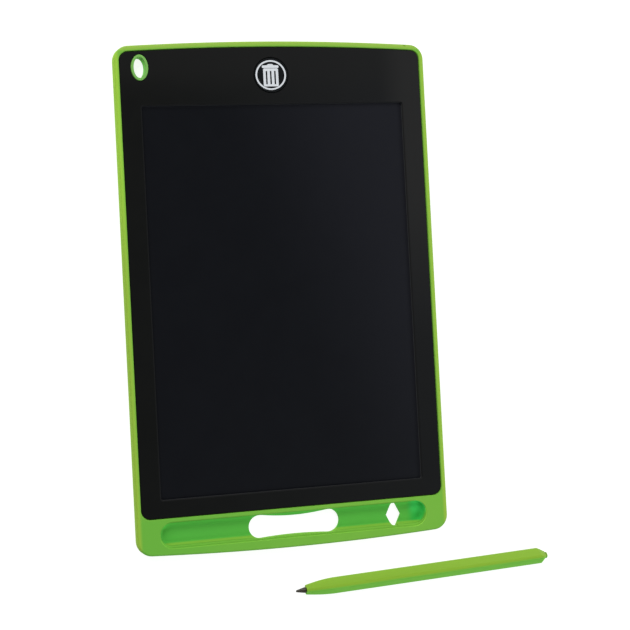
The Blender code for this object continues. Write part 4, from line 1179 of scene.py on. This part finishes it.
    def _tray(self) -> None:
        """A shallow recess, the deeper trough in it and the two holes through the trough's floor."""
        top, back, lip = self.plan.thickness, self.plan.recess_edge, self.trough_lip
        self.shell.take("tray_recess", stadium(*self.tray, self.tray_half_length, self.tray_radius), self.shelf,
                        *flare(top, self.tray_edge))
        trough = stadium(0.0, self.trough_y, self.tray_half_length - self.trough_inset, self.trough_radius)
        self.shell.take("tray_trough", trough, *rounding(self.trough_floor, self.trough_fillet, -1),
                        *flare(self.shelf, lip)[:-1], (top + PAST, -lip))
        for name, ring in (
                ("finger_hole", dog_bone(0.0, self.hole_y, self.finger_half_length, self.finger_lobe,
                                         self.finger_rises)),
                ("hex_hole", hexagon(self.hex_x, self.hole_y, self.hex_half, self.hex_flat))):
            self.shell.take(name, ring, *flare(0.0, back, -1), *flare(top))

    def _notch(self) -> None:
        """A small slanting nick across the top rim's outer edge, near its right corner."""
        plan, half = self.plan, self.notch_half
        x = plan.half_width - self.notch_from_side
        y = plan.half_length - plan.bow_radius + math.sqrt(plan.bow_radius ** 2 - x ** 2)
        low, high = y - self.notch_depth, y + PAST
        base = [(x - half, low), (x + half, low), (x + 2 * half, high), (x, high)]
        levels = plan.thickness - self.notch_height, plan.thickness + PAST
        self.shell.cut(Form.loft("pry_notch", [[(*point, z) for point in base] for z in levels]))


@dataclass
class FrontPanel:
    """The matte black plate with its window and its two holes."""

    plan: TabletPlan
    finish: bpy.types.Material
    edge: float = 0.00025
    window_edge: float = 0.0008
    hole_edge: float = 0.00012
    rib: float = 0.0012
    rib_low: float = 0.00385
    rib_overlap: float = 0.0002

    def build(self) -> None:
        """Make the plate and dress it."""
        plan = self.plan
        low, high = plan.panel_low, plan.panel_high
        face = Form.upright("face_plate", plan.pocket_ring(plan.gap), low, *rounding(high, self.edge))
        face.join(Form.hoop("clamp_rib", plan.window_ring(self.rib), plan.window_ring(), self.rib_low,
                            low + self.rib_overlap))
        face.take("window", plan.window_ring(), *flare(self.rib_low, side=-1), *flare(high, self.window_edge))
        for name, ring in (("eye_hole", plan.eye_ring(plan.eye_wall + plan.gap)),
                           ("button_hole", circle(*plan.button, plan.button_radius + plan.gap, ROUND_STEPS))):
            face.take(name, ring, *flare(low, side=-1), *flare(high, self.hole_edge))
        face.settle().dress(self.finish, Body.TABLET, Slot.BLACK, "front_panel")


@dataclass
class Screen:
    """The upper film of the pressure-sensitive screen."""

    plan: TabletPlan
    finish: bpy.types.Material
    low: float = 0.0035
    high: float = 0.0037
    edge: float = 0.00004

    def build(self) -> None:
        """Make the film with a softened edge and dress it."""
        sheet = Form.upright("screen_sheet", self.plan.film_ring(), *rounding(self.low, self.edge, -1),
                             *rounding(self.high, self.edge))
        sheet.settle().dress(self.finish, Body.TABLET, Slot.FILM, "lcd_front_film")


@dataclass
class EraseButton:
    """The round cap in the panel, with a printed ring and a plain waste bin on it."""

    plan: TabletPlan
    plastic: bpy.types.Material
    ink: bpy.types.Material
    skin: float = 0.0009
    wall: float = 0.0011
    flange: float = 0.0009
    flange_levels: Span = (0.0035, 0.0039)
    edge: float = 0.00025
    ring_radius: float = 0.00708
    ring_line: float = 0.00076
    ring_flatness: float = 0.945
    print_shift: float = -0.00015
    ink_depth: float = 0.00004
    print_steps: int = 6
    bin_half_width: float = 0.00348
    bin_levels: Span = (-0.0051, 0.0030)
    bin_corner: float = 0.0006
    slot_pitch: float = 0.00196
    slot_count: int = 3
    slot_y: float = -0.00115
    slot_radius: float = 0.00036
    slot_length: float = 0.0060
    lid_shift: float = -0.0001
    lid_gap: float = 0.00016
    lid_half: Point = (0.00388, 0.0006)
    lid_corner: float = 0.0004
    knob_root: float = 0.0009
    knob: tuple[Point, ...] = ((0.75, 0.0), (0.62, 0.0003), (0.36, 0.0004), (0.30, 0.0007), (0.18, 0.0009))

    def build(self) -> None:
        """Make the cap and its print, and dress them."""
        self._cap().settle().dress(self.plastic, Body.BUTTON, Slot.BLACK, "erase_button")
        ring = self._ring()
        parts = self._bin(), self._lid()
        for part in parts:
            part.settle().item.data.materials.clear()
            ring.join(part)
        ring.item.name = "cap_print"
        ring.settle().dress(self.ink, Body.BUTTON, Slot.INK)

    def _cap(self) -> Form:
        """The cap, hollow underneath, with its flange.

        Returns:
            The solid cap.
        """
        plan, radius = self.plan, self.plan.button_radius
        under = plan.panel_high - self.skin
        inner, outer = radius - self.wall, radius + self.flange
        low, high = self.flange_levels
        crown = [(radius - inset, z) for z, inset in rounding(plan.panel_high, self.edge)]
        profile = [(inner / 2, under), (inner, under), (inner, low), (outer, low), (outer, high), (radius, high)]
        return Form.turned("erase_cap", profile + crown, *plan.button)

    def _ring(self) -> Form:
        """The printed ring, swept round a circle with Geometry Nodes.

        Returns:
            The ring.
        """
        centre = (self.plan.button[0] + self.print_shift, self.plan.button[1], self.plan.panel_high)
        shape = NodeShape("cap_ring", {
            "Centre": centre, "Radius": self.ring_radius - self.ring_line / 2, "Line": self.ring_line,
            "Thickness": 2 * self.ink_depth, "Facets": 160})
        graph, size = shape.graph, shape.size
        path = graph.node("GeometryNodeCurvePrimitiveCircle", {"mode": "RADIUS"}, {
            "Resolution": size("Facets"), "Radius": size("Radius")})
        profile = graph.node("GeometryNodeCurvePrimitiveQuadrilateral", {"mode": "RECTANGLE"}, {
            "Width": size("Line"), "Height": size("Thickness")})
        swept = graph.node("GeometryNodeCurveToMesh", {}, {"Curve": path, "Profile Curve": profile})
        placed = graph.node("GeometryNodeTransform", {}, {
            "Geometry": swept, "Translation": size("Centre"), "Scale": (1.0, self.ring_flatness, 1.0)})
        return shape.form(placed, self.ink)

    @property
    def _levels(self) -> Span:
        """Heights of the ink on the cap."""
        return self.plan.panel_high - self.ink_depth, self.plan.panel_high + self.ink_depth

    def _bin(self) -> Form:
        """The bin: a plain tub with three slots.

        Returns:
            The bin.
        """
        x, y = self.plan.button[0] + self.print_shift, self.plan.button[1]
        low, high = self.bin_levels
        half = (high - low) / 2
        tub = Form.upright("bin_tub", rectangle(x, y + low + half, self.bin_half_width, half, self.bin_corner,
                                                self.print_steps), *self._levels)
        start = (x - self.slot_pitch * (self.slot_count - 1) / 2, y + self.slot_y, self.plan.panel_high)
        return tub.cut(rod_row("bin_slots", start, self.slot_pitch, self.slot_count, self.slot_radius,
                               self.slot_length, self.ink))

    def _lid(self) -> Form:
        """The bin's lid with its knob.

        Returns:
            The lid.
        """
        x, y = self.plan.button[0] + self.print_shift + self.lid_shift, self.plan.button[1]
        low = self.bin_levels[1] + self.lid_gap
        half_x, half_y = self.lid_half
        lid = Form.upright("bin_lid", rectangle(x, y + low + half_y, half_x, half_y, self.lid_corner,
                                                self.print_steps), *self._levels)
        mirrored = [(-share, rise) for share, rise in reversed(self.knob)]
        dome = [(x + half_x * share, y + low + self.knob_root + rise) for share, rise in [*self.knob, *mirrored]]
        return lid.join(Form.loft("bin_knob", [[(*point, z) for point in dome] for z in self._levels]))


@dataclass
class Lock:
    """The slider on the back that locks the erase button."""

    plan: TabletPlan
    finish: bpy.types.Material
    sink: float = 0.0002
    plate_high: float = 0.0007
    edge: float = 0.00012
    stem_half: Point = (0.0014, 0.0012)
    stem_levels: Span = (0.00045, 0.0026)
    barb_half: Point = (0.0014, 0.0020)
    barb_levels: Span = (0.0020, 0.0024)
    pocket_half: Point = (0.0008, 0.0008)
    pocket_depth: float = 0.0009
    groove_pitch: float = 0.0011
    groove_count: int = 4
    groove_radius: float = 0.00024
    groove_length: float = 0.0030

    def build(self) -> None:
        """Make the slider with its grip grooves, stem and barbs, and dress it."""
        x, y = self.plan.lock
        slider = Form.upright("lock_thumb", rectangle(x, y, *self.plan.lock_half, self.plan.lock_corner),
                              *rounding(self.sink, self.edge, -1), self.plate_high)
        slider.add("stem", rectangle(x, y, *self.stem_half), *self.stem_levels)
        slider.add("barbs", rectangle(x, y, *self.barb_half), *self.barb_levels)
        top = self.stem_levels[1]
        slider.take("pocket", rectangle(x, y, *self.pocket_half), top - self.pocket_depth, top + PAST)
        start = (x - self.groove_pitch * (self.groove_count - 1) / 2, y, self.sink)
        slider.cut(rod_row("grip_grooves", start, self.groove_pitch, self.groove_count, self.groove_radius,
                           self.groove_length, self.finish))
        slider.settle().dress(self.finish, Body.LOCK, Slot.BLACK, "lock_slider")


@dataclass
class BatteryDoor:
    """The door over the coin cell, with its tongue, spigot, screw ear and captive screw."""

    plan: TabletPlan
    plastic: bpy.types.Material
    steel: bpy.types.Material
    spigot_rise: float = 0.0004
    spigot_wall: float = 0.001
    sink_web: float = 0.0005
    sink_edge: float = 0.00012
    screw_gap: float = 0.0002
    tongue_thickness: float = 0.00035
    tongue_root: Spot = (0.0009, 0.0006, 0.003)
    tongue: Spot = (0.0002, 0.0010, 0.003)
    groove_start: Point = (0.0022, -0.00005)
    groove_pitch: float = 0.0011
    groove_count: int = 4
    groove_radius: float = 0.00028
    groove_length: float = 0.0110
    head_radius: float = 0.0018
    head_levels: Span = (0.0001, 0.0007)
    head_dome: tuple[Point, ...] = ((0.5, 0.0), (0.78, 0.00004), (0.93, 0.00012), (1.0, 0.00026))
    screw_radius: float = 0.00075
    screw_high: float = 0.0031
    tip_length: float = 0.0003
    tip_share: float = 0.6
    cross_half: Point = (0.0009, 0.0002)
    cross_depth: float = 0.0003

    def build(self) -> None:
        """Make the door, with a row of grip grooves at its screw end, and its screw, and dress them."""
        plan, y = self.plan, self.plan.cell[1]
        top, root = plan.door_high, plan.door_high / 2
        door = Form.upright("battery_lid", plan.door_ring(), *rounding(0.0, plan.recess_edge, -1), top)
        door.add("spigot", plan.cell_ring(-plan.gap), root, top + self.spigot_rise)
        door.take("spigot_well", plan.cell_ring(-plan.gap - self.spigot_wall), top, top + self.spigot_rise + PAST)
        door.add("ear", plan.screw_ring(plan.ear_radius), root, plan.ear_high)
        door.take("counterbore", plan.screw_ring(self.head_radius + plan.gap),
                  *flare(0.0, self.sink_edge, -1)[:-1], plan.ear_high - self.sink_web)
        door.take("screw_hole", plan.screw_ring(self.screw_radius + self.screw_gap), -PAST, plan.ear_high + PAST)
        low = top + plan.tongue_rise
        for name, (shift, *half), foot in (("tongue_root", self.tongue_root, root), ("tongue", self.tongue, low)):
            door.add(name, rectangle(plan.door_left + shift, y, *half), foot, low + self.tongue_thickness)
        start = (plan.door_left + self.groove_start[0], y, self.groove_start[1])
        door.cut(rod_row("door_grooves", start, self.groove_pitch, self.groove_count, self.groove_radius,
                         self.groove_length, self.plastic))
        door.settle().dress(self.plastic, Body.DOOR, Slot.GREEN, "battery_door")
        self._screw().settle().dress(self.steel, Body.DOOR, Slot.STEEL, "battery_door_screw")

    def _screw(self) -> Form:
        """The captive screw: a domed head, a shank with a blunt tip, and a cross recess.

        Returns:
            The solid screw.
        """
        x, y = self.plan.door_screw_x, self.plan.cell[1]
        low, high = self.head_levels
        head, shank, end = self.head_radius, self.screw_radius, self.screw_high
        profile = [(head * share, low + rise) for share, rise in self.head_dome]
        profile += [(head, high), (shank, high), (shank, end - self.tip_length), (shank * self.tip_share, end)]
        screw = Form.turned("lid_screw", profile, x, y, SMALL_ROUND_STEPS)
        for half in (self.cross_half, self.cross_half[::-1]):
            screw.take("cross", rectangle(x, y, *half), low - PAST, low + self.cross_depth)
        return screw


@dataclass
class Stylus:
    """The loose three-sided stylus with its dark nib and its end plug."""

    plastic: bpy.types.Material
    nib: bpy.types.Material
    centre: Spot = (0.0602, -0.13075, 0.0026688)
    turn: float = math.radians(2.2)
    length: float = 0.1230
    side: float = 0.0047
    corner: float = 0.001312
    crease: float = 28.0
    gap: float = 0.0003
    nib_reach: float = 0.0048
    nib_base: float = 0.00135
    nib_edge: float = 0.0001
    nib_point: float = 0.00052
    nib_point_steps: int = 8
    nib_blunt_share: float = 0.12
    nib_shank: float = 0.008
    nub_reach: float = 0.0009
    nub_radius: float = 0.0014
    nub_edge: float = 0.0005
    nub_shank: float = 0.006
    nose_radius: float = 0.0022
    nose_length: float = 0.0143
    nose_power: float = 1.85
    tail_radius: float = 0.0017
    tail_length: float = 0.00265
    tail_power: float = 1.25
    tail_slant: float = 0.26
    middle: Span = (0.0, -0.01)
    section_turn: float = -QUARTER
    bore_radius: float = 0.0011
    shank_radius: float = 0.0008

    @property
    def nose(self) -> float:
        """Where the barrel starts, along X."""
        return -self.length / 2 + self.nib_reach

    @property
    def tail(self) -> float:
        """Where the barrel ends, along X."""
        return self.length / 2 - self.nub_reach

    def build(self) -> None:
        """Make the barrel, the nib and the plug on the X axis, lay them in their place and dress them."""
        place = Matrix.Translation(Vector(self.centre)) @ Matrix.Rotation(self.turn, 4, "Z")
        barrel = self._barrel()
        ends = self.nose - PAST, self.tail + PAST
        barrel.cut(Form.spindle("bore", [(x, self.bore_radius) for x in ends]))
        barrel.settle(self.crease).move(place).dress(self.plastic, Body.STYLUS, Slot.GREEN, "pen_barrel")
        self._nib().settle().move(place).dress(self.nib, Body.STYLUS, Slot.NIB, "pen_nib")
        self._plug().settle().move(place).dress(self.plastic, Body.STYLUS, Slot.GREEN, "pen_end_plug")

    def _barrel(self) -> Form:
        """The barrel, swept with Geometry Nodes and drawn in at both ends.

        Returns:
            The solid barrel on the X axis.
        """
        shape = NodeShape("pen_body", {
            "Nose": self.nose, "Tail": self.tail, "Core Radius": self.side / math.sqrt(3), "Corner": self.corner,
            "Nose Radius": self.nose_radius, "Nose Length": self.nose_length, "Nose Power": self.nose_power,
            "Tail Radius": self.tail_radius, "Tail Length": self.tail_length, "Tail Power": self.tail_power,
            "Tail Slant": self.tail_slant, "Sections": 260, "Crowding": 0.85, "Corner Facets": 14})
        graph, size = shape.graph, shape.size
        line = graph.node("GeometryNodeCurvePrimitiveLine", {"mode": "POINTS"}, {
            "Start": graph.vector(size("Nose")), "End": graph.vector(size("Tail"))})
        even = graph.node("GeometryNodeResampleCurve", {}, {"Curve": line, "Count": size("Sections")})
        run = size("Tail") - size("Nose")
        x, y, z = graph.axes(graph.node("GeometryNodeInputPosition", {}, {}))
        turn = (x - size("Nose")) / run * (2 * math.pi)
        crowded = x - turn.math("SINE", turn) * run * size("Crowding") / (2 * math.pi)
        spine = graph.node("GeometryNodeSetPosition", {}, {"Geometry": even, "Position": graph.vector(crowded)})
        triangle = graph.node("GeometryNodeCurvePrimitiveCircle", {"mode": "RADIUS"}, {
            "Resolution": 3, "Radius": size("Core Radius") + size("Corner") * 2.0})
        filleted = graph.node("GeometryNodeFilletCurve", {"mode": "POLY"}, {
            "Curve": triangle, "Radius": size("Corner"), "Count": size("Corner Facets")})
        section = graph.node("GeometryNodeTransform", {}, {
            "Geometry": filleted, "Rotation": (0.0, 0.0, self.section_turn)})
        swept = graph.node("GeometryNodeCurveToMesh", {}, {
            "Curve": spine, "Profile Curve": section, "Fill Caps": True})
        before_body = (1.0 - (x - size("Nose")) / size("Nose Length")).larger(0.0)
        tail_length = size("Tail Length") + y * size("Tail Slant")
        past_body = (1.0 - (size("Tail") - x) / tail_length).larger(0.0)
        share = 1.0 - before_body ** size("Nose Power") - past_body ** size("Tail Power")
        reach = (y * y + z * z) ** 0.5
        near_nose = x.step(*self.middle)
        round_radius = near_nose * size("Nose Radius") + (1.0 - near_nose) * size("Tail Radius")
        stretch = share + (1.0 - share) * round_radius / reach
        drawn = graph.node("GeometryNodeSetPosition", {}, {
            "Geometry": swept, "Position": graph.vector(x, y * stretch, z * stretch)})
        return shape.form(drawn, self.plastic)

    def _nib(self) -> Form:
        """The nib: a rounded point, a cone that ends just before the barrel, and a shank.

        Returns:
            The solid nib on the X axis.
        """
        tip, point, base = -self.length / 2, self.nib_point, self.nose - self.gap
        turns = [QUARTER * i / self.nib_point_steps for i in range(self.nib_point_steps + 1)]
        profile = [(tip + point * (1 - math.cos(a)), point * max(math.sin(a), self.nib_blunt_share)) for a in turns]
        profile += [(base - self.nib_edge, self.nib_base), (base, self.nib_base - self.nib_edge),
                    (base, self.shank_radius), (self.nose + self.nib_shank, self.shank_radius)]
        return Form.spindle("pen_tip", profile)

    def _plug(self) -> Form:
        """The plug: a shank and a rounded nub.

        Returns:
            The solid plug on the X axis.
        """
        head = self.tail + self.gap
        crown = [(x, self.nub_radius - inset) for x, inset in rounding(self.length / 2, self.nub_edge)]
        return Form.spindle("pen_plug", [(self.tail - self.nub_shank, self.shank_radius), (head, self.shank_radius),
                                         (head, self.nub_radius), *crown])


@dataclass
class InnerParts:
    """Finishes of the model's own nodes that stay: what is inside, under the panel and the door."""

    board: bpy.types.Material
    steel: bpy.types.Material

    def build(self) -> None:
        """Give each node that stays its procedural finish."""
        sheet = Finish("styrene_sheet", (0.060, 0.060, 0.065), (0.052, 0.052, 0.056), 0.55).material()
        film = Finish("rear_film", (0.010, 0.011, 0.015), (0.012, 0.013, 0.018), 0.35, 0.03).material()
        amber = Finish("polyimide", (0.55, 0.27, 0.05), (0.48, 0.22, 0.04), 0.32, 0.04, 300.0).material()
        epoxy = Finish("chip_epoxy", (0.020, 0.020, 0.020), (0.028, 0.028, 0.028), 0.6).material()
        nylon = Finish("switch_nylon", (0.75, 0.72, 0.62), (0.70, 0.66, 0.56), 0.5, 0.05, 500.0).material()
        ceramic = Finish("fired_ceramic", (0.55, 0.45, 0.32), (0.46, 0.36, 0.25), 0.45, 0.05, 1500.0).material()
        black = Finish("switch_black", (0.015, 0.015, 0.016), (0.020, 0.020, 0.021), 0.5, 0.05, 500.0).material()
        board, steel = self.board, self.steel
        chosen = {
            "support_plate": sheet, "lcd_rear_film": film, "lcd_flex_tail": amber, "main_board": board,
            "board_screw_left": steel, "board_screw_right": steel, "tact_switch_case": black,
            "tact_switch_plunger": nylon, "driver_chip": epoxy, "boost_inductor": epoxy,
            "capacitor_upper": ceramic, "capacitor_lower": ceramic, "lock_switch_body": nylon,
            "lock_switch_actuator": black, "coin_cell": steel, "battery_contact_negative": steel,
            "battery_contact_positive": steel}
        for name, finish in chosen.items():
            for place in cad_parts[name].material_slots:
                place.material = finish
            LOG.info("%s keeps the model's shape, with the finish %s", name, finish.name)


@dataclass(frozen=True)
class Lamp:
    """A square area light that looks at the tablet."""

    name: str
    place: Spot
    size: float
    power: float
    colour: Colour

    def build(self) -> None:
        """Put the light into the scene."""
        data = bpy.data.lights.new(self.name, "AREA")
        data.size = self.size
        data.energy = self.power
        data.color = self.colour
        made = put(self.name, data)
        made.location = self.place
        made.rotation_euler = (-Vector(self.place)).to_track_quat("-Z", "Y").to_euler()


@dataclass
class Studio:
    """A plain pale floor, soft lights and the camera at the photograph's view."""

    eye: Spot = (-0.208186, -0.006418, 0.720080)
    angles: Spot = (math.radians(2.1594), math.radians(-17.228), math.radians(-3.1221))
    lens: float = 95.25
    sensor: float = 36.0
    shift_y: float = -0.0714
    floor_size: float = 6.0
    floor_z: float = -0.00002
    floor_glow: float = 0.86
    sky: Colour = (0.92, 0.96, 1.0)
    sky_strength: float = 0.14
    lamps: tuple[Lamp, ...] = (
        Lamp("key", (-0.75, 1.25, 1.15), 1.1, 26.0, (1.0, 0.985, 0.95)),
        Lamp("fill", (0.95, -1.05, 1.1), 1.2, 15.0, (0.96, 0.985, 1.0)),
        Lamp("side", (1.35, 0.55, 1.0), 1.0, 9.0, (0.98, 0.99, 1.0)))

    def build(self) -> None:
        """Make the floor, the world, the lights and the camera."""
        self._floor()
        self._world()
        for lamp in self.lamps:
            lamp.build()
        self._camera()

    def _floor(self) -> None:
        """A pale floor at the height that the tablet and the stylus rest on."""
        made = bpy.data.materials.new("pale_floor")
        made.use_nodes = True
        graph = Graph(made.node_tree)
        shader = graph.node("ShaderNodeBsdfPrincipled", {}, {
            "Base Color": (0.3, 0.3, 0.3, 1.0), "Roughness": 0.9, "Specular IOR Level": 0.0,
            "Emission Color": (1.0, 1.0, 1.0, 1.0), "Emission Strength": self.floor_glow})
        graph.node("ShaderNodeOutputMaterial", {}, {0: shader})
        builder = bmesh.new()
        bmesh.ops.create_grid(builder, x_segments=4, y_segments=4, size=self.floor_size / 2)
        mesh = bpy.data.meshes.new("floor")
        builder.to_mesh(mesh)
        builder.free()
        mesh.materials.append(made)
        mesh.transform(Matrix.Translation((0.0, 0.0, self.floor_z)))
        floor = put("floor", mesh)

    def _world(self) -> None:
        """A dim even surround."""
        world = bpy.data.worlds.new("surround")
        world.use_nodes = True
        background = world.node_tree.nodes["Background"]
        background.inputs[0].default_value = (*self.sky, 1.0)
        background.inputs[1].default_value = self.sky_strength
        bpy.context.scene.world = world

    def _camera(self) -> None:
        """The camera at the photograph's view."""
        data = bpy.data.cameras.new("camera")
        data.lens = self.lens
        data.sensor_width = self.sensor
        data.shift_y = self.shift_y
        made = put("camera", data)
        made.location = self.eye
        made.rotation_euler = self.angles
        bpy.context.scene.camera = made
        bpy.context.scene.view_settings.view_transform = "Standard"


def main() -> None:
    """Build every sub-assembly in order."""
    logging.basicConfig(level=logging.INFO, format="%(name)s: %(message)s")
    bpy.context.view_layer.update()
    lime = LimePlastic("lime_abs", (0.172, 0.460, 0.048), (0.186, 0.476, 0.052), 0.48, specular=0.12).material()
    pen_lime = PenPlastic("lime_abs_pen", (0.186, 0.555, 0.060), (0.200, 0.568, 0.064), 0.46,
                          specular=0.07).material()
    black = MattePanel("matte_black", (0.0022, 0.0026, 0.0023), (0.0030, 0.0034, 0.0031), 0.6,
                       specular=0.1).material()
    cap = Finish("moulded_black", (0.0036, 0.0048, 0.0058), (0.0044, 0.0056, 0.0064), 0.6, specular=0.1).material()
    film = ScreenSheet("screen_film", (0.0032, 0.0037, 0.0056), (0.0036, 0.0042, 0.0062), 0.45, 0.03,
                       grain_depth=0.00003, grain_strength=0.12, specular=0.1).material()
    ink = Finish("white_ink", (0.70, 0.73, 0.77), (0.66, 0.69, 0.73), 0.6, 0.05, 900.0).material()
    nib = Finish("acetal_nib", (0.042, 0.034, 0.020), (0.030, 0.025, 0.016), 0.38, 0.05, 900.0).material()
    steel = DrawnMetal("plated_steel", (0.62, 0.62, 0.60), (0.56, 0.56, 0.55), 0.28, metallic=1.0).material()
    board = SolderMask("solder_mask", (0.020, 0.120, 0.050), (0.018, 0.105, 0.044), 0.35).material()

    RearHousing(PLAN, lime).build()
    FrontPanel(PLAN, black).build()
    Screen(PLAN, film).build()
    EraseButton(PLAN, cap, ink).build()
    Lock(PLAN, cap).build()
    BatteryDoor(PLAN, lime, steel).build()
    Stylus(pen_lime, nib).build()
    InnerParts(board, steel).build()
    Studio().build()


if __name__ == "__main__":
    main()
